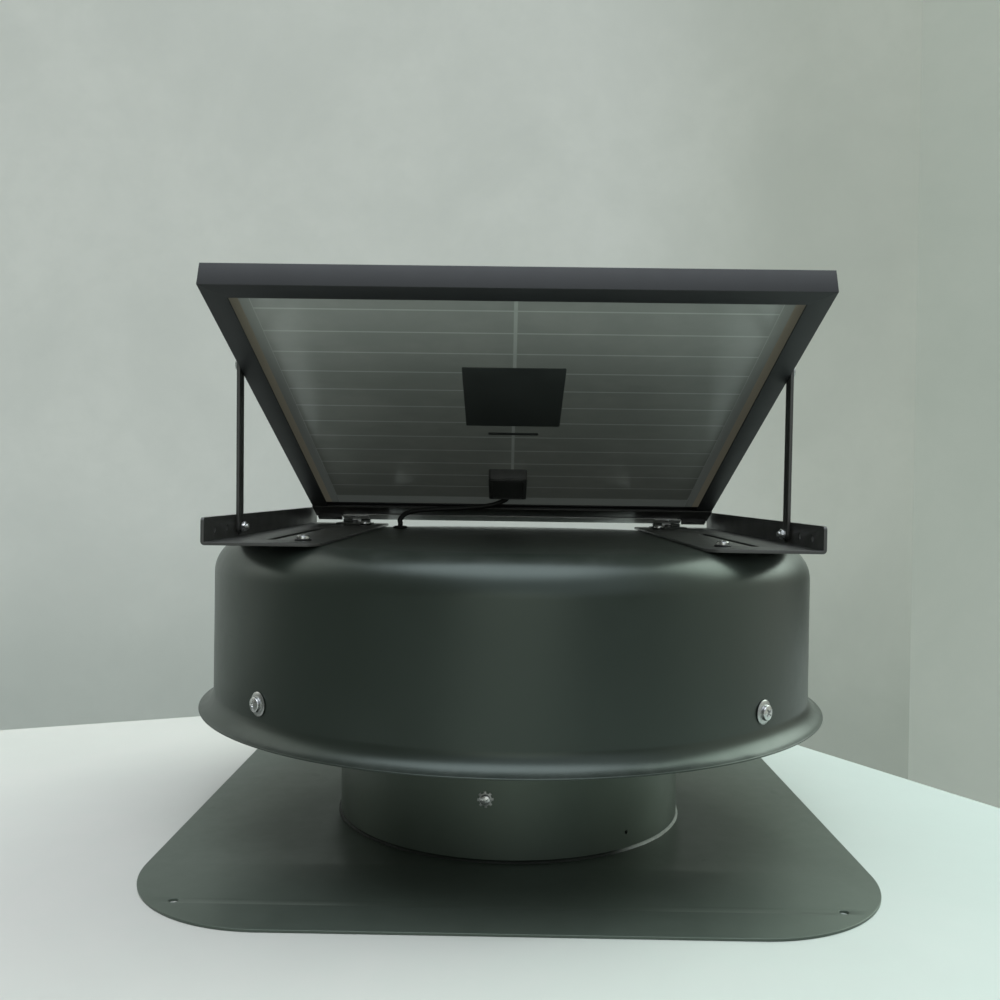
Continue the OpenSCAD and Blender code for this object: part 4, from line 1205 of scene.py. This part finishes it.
def jbox_body():
    part = Part()
    plate(part, box_outline(0, 3, 6), [box_outline(2, 1.5, 4)], SEAT - 10.0, SEAT - 1.0, 0.35,
          on_panel)
    plate(part, box_outline(0, 3, 6), [], SEAT - 1.3, SEAT - 0.02, 0.3, on_panel)
    part.fit("jbox_body", lightened_box_plastic, 30, "panel", "black_plastic", "junction_box")


def jbox_lid():
    """Lid with a raised rim and four corner bosses below, and a locating ring inside."""
    boss_in, boss_r = 3.8, 1.5
    part = Part()
    plate(part, box_outline(0, 3, 6), [], SEAT - 11.7, SEAT - 10.02, 0.5, on_panel)
    plate(part, box_outline(2.5, 2.2, 6), [box_outline(4.5, 1.4, 5)], SEAT - 12.2, SEAT - 11.6,
          0.2, on_panel)
    for v in (BOX_V0 + boss_in, BOX_V1 - boss_in):
        for x in (BOX_X0 + boss_in, BOX_X1 - boss_in):
            plate(part, circle(x, v, boss_r, 24), [], SEAT - 12.15, SEAT - 11.6, 0.25, on_panel)
    plate(part, box_outline(2.1, 1.4, 4), [box_outline(3.5, 1.0, 4)], SEAT - 10.1, SEAT - 7.7,
          0.2, on_panel)
    part.fit("jbox_lid", lightened_lid_plastic, 30, "panel", "black_plastic", "junction_box_lid")


jbox_body()
jbox_lid()

# ------------------------------------------------------------------ struts and their fasteners
_, UPPER_Y, UPPER_Z = on_panel((0, PIVOT_V, PIVOT_W))
STRUT_L = math.hypot(UPPER_Y - PIVOT_Y, UPPER_Z - PIVOT_Z)
STRUT_LEAN = math.degrees(math.atan2(UPPER_Z - PIVOT_Z, UPPER_Y - PIVOT_Y)) - 90


def strut(side, name, node, body):
    """Flat bar with round ends: an open notch at the lower pivot and a hole at the upper."""
    end_r, notch_r, notch = STRUT_W / 2, 2.75, 270 - 24.1  # notch is the way it opens, degrees
    half_open = math.degrees(math.asin(notch_r / end_r))
    outline = arc(0, 0, end_r, notch + half_open, 360, 14)
    outline += arc(0, STRUT_L, end_r, 0, 180, 28)
    outline += arc(0, 0, end_r, 180, notch - half_open, 8)
    outline += arc(0, 0, notch_r, notch - 90, notch - 270, 20)
    c, s = cosd(STRUT_LEAN), sind(STRUT_LEAN)
    left = STRUT_IN if side > 0 else -STRUT_IN - STRUT_THICK

    def place(p):
        a, b, t = p
        return (left + t, PIVOT_Y + a * c - b * s, PIVOT_Z + a * s + b * c)

    part = Part()
    plate(part, outline, [circle(0, STRUT_L, 2.57, 28)], 0, STRUT_THICK, 0.3, place)
    part.fit(name, black_coat, 30, body, "black_coat", node)


def strut_fasteners():
    """Bolts on the outside and nuts on the inside of both pivots."""
    bolt = dict(head_r=4.6, head_h=2.6, shank_r=2.5, drive_r=3.0)
    nut = dict(flats=8, h=4, bore=2.51)
    gap = 0.05
    upper_bolts, upper_nuts, lower_bolts, lower_nuts = Part(), Part(), Part(), Part()
    for side in SIDES:
        out, inward = (side, 0, 0), (-side, 0, 0)
        origin = on_panel((side * (STRUT_IN + STRUT_THICK + gap), PIVOT_V, PIVOT_W))
        screw(upper_bolts, at(origin, out), shank_l=9.5, spin=20 * side, **bolt)
        origin = on_panel((side * (HALF_W - RAIL_WALL - gap), PIVOT_V, PIVOT_W))
        hexnut(upper_nuts, at(origin, inward), spin=12, **nut)
        origin = (side * (LEG_OUT + gap), PIVOT_Y, PIVOT_Z)
        screw(lower_bolts, at(origin, out), shank_l=11.5, spin=-15 * side, **bolt)
        origin = (side * (STRUT_IN - gap), PIVOT_Y, PIVOT_Z)
        hexnut(lower_nuts, at(origin, inward), spin=8, **nut)
    upper_bolts.fit("prop_bolts_upper", zinc, 38, "panel", "zinc_steel", "strut_upper_bolts")
    upper_nuts.fit("prop_nuts_upper", zinc, 30, "panel", "zinc_steel", "strut_upper_nuts")
    lower_bolts.fit("prop_bolts_lower", stainless, 38, "base", "zinc_steel", "strut_lower_bolts")
    lower_nuts.fit("prop_nuts_lower", stainless, 30, "base", "zinc_steel", "strut_lower_nuts")


strut(-1, "prop_left", "strut_left", "left_strut")
strut(1, "prop_right", "strut_right", "right_strut")
strut_fasteners()


# ------------------------------------------------------------------ cables
def motor_lead():
    """From the motor up to the grommet in the hood."""
    part = Part()
    sweep(part, [(-18, 23.5, 116), (-18, 23.5, 136), (-30, 39, 158), (-58, 75, 186),
                 (-95, 124, 212), (-116, 151, 230), (-122, 159, 243), (-122, 159, 256.5)], CABLE_R)
    part.fit("lead_motor", rubber, 60, "base", "cable_rubber", "motor_cable")


def panel_lead():
    """From the grommet to the junction box, its path curving between the base and the panel."""
    part = Part()
    sweep(part, [(-122, 159, 256.5), (-122, 159.5, 261), (-114, 166, 268), (-90, 174, 271.5),
                 (-55, 178, 273.5), (-24, 176, 277), (-8, 173, 283), (-6, 171.48, 285.97),
                 (-6, 166.06, 288.05)], CABLE_R, n=28, sub=16)
    lead = part.make("lead_panel", 60, rubber)
    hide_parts("panel_cable")
    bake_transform(lead)


def grommet():
    # (r, z), waisted where it grips the hood's top sheet
    profile = [(2.8, 246.9), (7.4, 246.9), (8.0, 247.5), (8.0, 248.8), (7.4, 249.45),
               (5.45, 249.5), (5.45, 251.0), (7.4, 251.05), (8.0, 251.6), (7.6, 252.8),
               (6.0, 253.45), (3.6, 253.6), (2.8, 253.2)]
    part = Part()
    lathe(part, profile, 56, centre=GROMMET)
    part.fit("lead_grommet", rubber, 40, "base", "cable_rubber", "cable_grommet")


motor_lead()
panel_lead()
grommet()


# ------------------------------------------------------------------ stage: table, walls, floor
def stage_surface(name, colours, patch_scale, grain_scale, rough, bump, painted_light_ramps=(),
                  mirror_fade=False):
    """Patchy matt surface. Each ramp of painted light and shade is (axis, from, to, factor at the
    far end), metres.
    """
    mat = Shader(name)
    patches = mat.noise(patch_scale, detail=5.0, rough=0.62, distortion=0.4)
    grain = mat.noise(grain_scale, detail=4.0, rough=0.6, seed=3.0)
    color = mat.tones(patches, colours[0], colours[1], lo=0.32, hi=0.68)
    color = mat.tones(grain, color, colours[2], lo=0.4, hi=0.7, to=(0.0, 0.5))
    # painted light and shade: the colour is scaled along an axis
    for axis, start, end, factor in painted_light_ramps:
        painted_light_color = mat.vector("MULTIPLY", color, factor)
        color = mat.mix(mat.ramp(mat.along(axis), start, end), color, painted_light_color)
    if mirror_fade:
        # painted shade seen only in reflections: there the far left and the front of the table are
        # darkened, as if they fell away into the dark room
        left = mat.ramp(mat.along((-1, 0, 0)), 0.32, 0.50)
        front = mat.times(mat.ramp(mat.along((0, -1, 0)), 0.42, 0.60),
                          mat.ramp(mat.along((-1, 0, 0)), 0.10, 0.25))
        glossy = mat.node("ShaderNodeLightPath").outputs["Is Glossy Ray"]
        fade = mat.times(mat.math("MAXIMUM", left, front), glossy)
        color = mat.mix(fade, color, (0.10, 0.11, 0.10))
    return mat.finish(color=color, rough=rough, spec=0.25,
                      normal=mat.bump(grain, distance=bump, strength=0.4))


table_material = stage_surface(
    "table_top_v", ((0.490, 0.565, 0.520), (0.525, 0.595, 0.550), (0.500, 0.585, 0.535)),
    patch_scale=3.0, grain_scale=40.0, rough=0.55, bump=0.0002,
    # painted light: the table turns lighter and warmer towards the left
    painted_light_ramps=[((1, 0, 0), 0.60, -0.35, (1.18, 1.03, 1.04))], mirror_fade=True)
wall_material = stage_surface(
    "plaster_v", ((0.82, 0.835, 0.775), (0.90, 0.910, 0.845), (0.84, 0.855, 0.79)),
    patch_scale=2.2, grain_scale=14.0, rough=0.85, bump=0.0012,
    # painted shade: the back wall darkens to the right and towards the floor
    painted_light_ramps=[((1, 0, 0), 0.15, 0.80, (0.79, 0.80, 0.76)),
            ((0, 0, 1), 0.25, -0.35, (0.80, 0.82, 0.81))])
# the side wall's plaster is darker and greener than the back wall's: painted shade
shaded_side_wall_material = stage_surface(
    "plaster_side_shaded_v", ((0.76, 0.80, 0.71), (0.82, 0.85, 0.76), (0.78, 0.82, 0.73)),
    patch_scale=2.2, grain_scale=14.0, rough=0.85, bump=0.0012)
floor_material = stage_surface(
    "floor_v", ((0.30, 0.32, 0.30), (0.34, 0.36, 0.34), (0.32, 0.34, 0.32)),
    patch_scale=2.0, grain_scale=20.0, rough=0.7, bump=0.0005)


def table_top():
    """Table with its far corner behind the product, running left and towards the front."""
    far = Vector((158.0, 562.0))
    left_edge = (Vector((-605.0, 244.0)) - far).normalized() * 2300
    right_edge = (Vector((466.0, 11.0)) - far).normalized() * 1020
    corners = [far, far + left_edge, far + left_edge + right_edge, far + right_edge]
    part = Part()
    plate(part, [(p.x, p.y) for p in corners], [], -30.0, -0.05, 1.5, as_is)
    part.make("table_top", 40, table_material)


def quad(name, points, material):
    mesh = bpy.data.meshes.new(name)
    mesh.from_pydata([(x * MM, y * MM, z * MM) for x, y, z in points], [], [(0, 1, 2, 3)])
    mesh.materials.append(material)
    add_object(name, mesh)


def wall(name, start, end, material):
    """Upright wall between two (x, y) places."""
    quad(name, [(*start, FLOOR_Z), (*end, FLOOR_Z), (*end, CEILING_Z), (*start, CEILING_Z)],
         material)


FLOOR_Z, CEILING_Z, ROOM_HALF = -900, 1780, 6000
WALL_Y, CORNER_X = 1650.0, 1041.0

table_top()
wall("wall_back", (-4200, WALL_Y), (CORNER_X, WALL_Y), wall_material)
wall("wall_side", (CORNER_X, WALL_Y), (CORNER_X + 225, WALL_Y - 250), shaded_side_wall_material)
quad("room_floor", [(sx * ROOM_HALF, sy * ROOM_HALF, FLOOR_Z)
                    for sx, sy in ((-1, -1), (1, -1), (1, 1), (-1, 1))], floor_material)

# ------------------------------------------------------------------ light: a soft procedural room
AMBIENT = (0.110, 0.116, 0.104)
SEEN_BY_CAMERA = (0.47, 0.51, 0.48)
# direction, full inside and gone outside these angles (degrees), colour, power
LOBES = [
    ((-0.02, -0.12, 0.99), 12, 40, (0.89, 0.95, 1.03), 3.1),  # overhead
    ((0.25, -0.75, 0.60), 12, 44, (0.88, 0.96, 1.06), 0.60),  # bluish, above and in front
    ((0.66, 0.42, 0.62), 9, 33, (0.91, 1.05, 0.95), 3.6),     # window to the right, behind
    ((-0.75, 0.35, 0.56), 6, 34, (0.97, 1.0, 0.93), 0.9),     # window to the left, behind
    ((0.02, -1.0, -0.02), 8, 26, (0.97, 1.0, 0.90), 0.80),    # behind the camera
    ((1.0, 0.0, 0.10), 12, 46, (0.95, 1.0, 0.88), 0.48),      # right side
    ((-1.0, 0.50, 0.12), 6, 34, (0.96, 1.0, 0.94), 0.34),     # left side
]


def combine(room, values):
    node = room.node("ShaderNodeCombineXYZ")
    for socket, value in zip(node.inputs, values):
        socket.default_value = value
    return node.outputs[0]


def lobe(room, direction, towards, inner, outer, colour, power):
    """Soft disc of light."""
    facing = room.dot(direction, tuple(Vector(towards).normalized()))
    scale = room.node("ShaderNodeVectorMath", operation="SCALE")
    scale.inputs[0].default_value = tuple(c * power for c in colour)
    room.link(room.ramp(facing, cosd(outer), cosd(inner), kind="SMOOTHERSTEP"),
              scale.inputs["Scale"])
    return scale.outputs[0]


def room_light():
    world = bpy.data.worlds.new("room")
    bpy.context.scene.world = world
    world.use_nodes = True
    room = Nodes(world.node_tree)
    room.tree.nodes.clear()
    output = room.node("ShaderNodeOutputWorld")
    background = room.node("ShaderNodeBackground")
    direction = room.node("ShaderNodeTexCoord").outputs["Generated"]
    total = combine(room, AMBIENT)
    for settings in LOBES:
        total = room.vector("ADD", total, lobe(room, direction, *settings))
    ray = room.node("ShaderNodeLightPath")
    mixer = room.node("ShaderNodeMix", data_type="VECTOR")
    # sockets 4 and 5 are the vectors A and B, output 1 is the vector
    room.link(ray.outputs["Is Camera Ray"], mixer.inputs[0])
    room.link(total, mixer.inputs[4])
    room.link(combine(room, SEEN_BY_CAMERA), mixer.inputs[5])
    room.link(mixer.outputs[1], background.inputs["Color"])
    room.link(background.outputs[0], output.inputs["Surface"])


room_light()


# ------------------------------------------------------------------ camera
def view_camera():
    """Camera in front of the product, looking along +Y."""
    place = (-3.2702, -934.463, 295.911)
    yaw, pitch, roll = -0.00895244, -0.01151247, 0.01414184  # radians
    data = bpy.data.cameras.new("view")
    camera = add_object("view", data)
    data.sensor_width = 36.0
    data.lens = 35.888
    data.clip_start, data.clip_end = 0.01, 50
    ahead = Vector((math.sin(yaw) * math.cos(pitch), math.cos(yaw) * math.cos(pitch),
                    math.sin(pitch)))
    level = Vector((math.cos(yaw), -math.sin(yaw), 0.0))
    upright = level.cross(ahead)
    right = level * math.cos(roll) + upright * math.sin(roll)
    up = upright * math.cos(roll) - level * math.sin(roll)
    rows = [(right[i], up[i], -ahead[i], place[i] * MM) for i in range(3)]
    camera.matrix_world = Matrix((*rows, (0, 0, 0, 1)))
    bpy.context.scene.camera = camera


view_camera()
bpy.context.scene.view_settings.view_transform = "Standard"

bpy.context.view_layer.update()
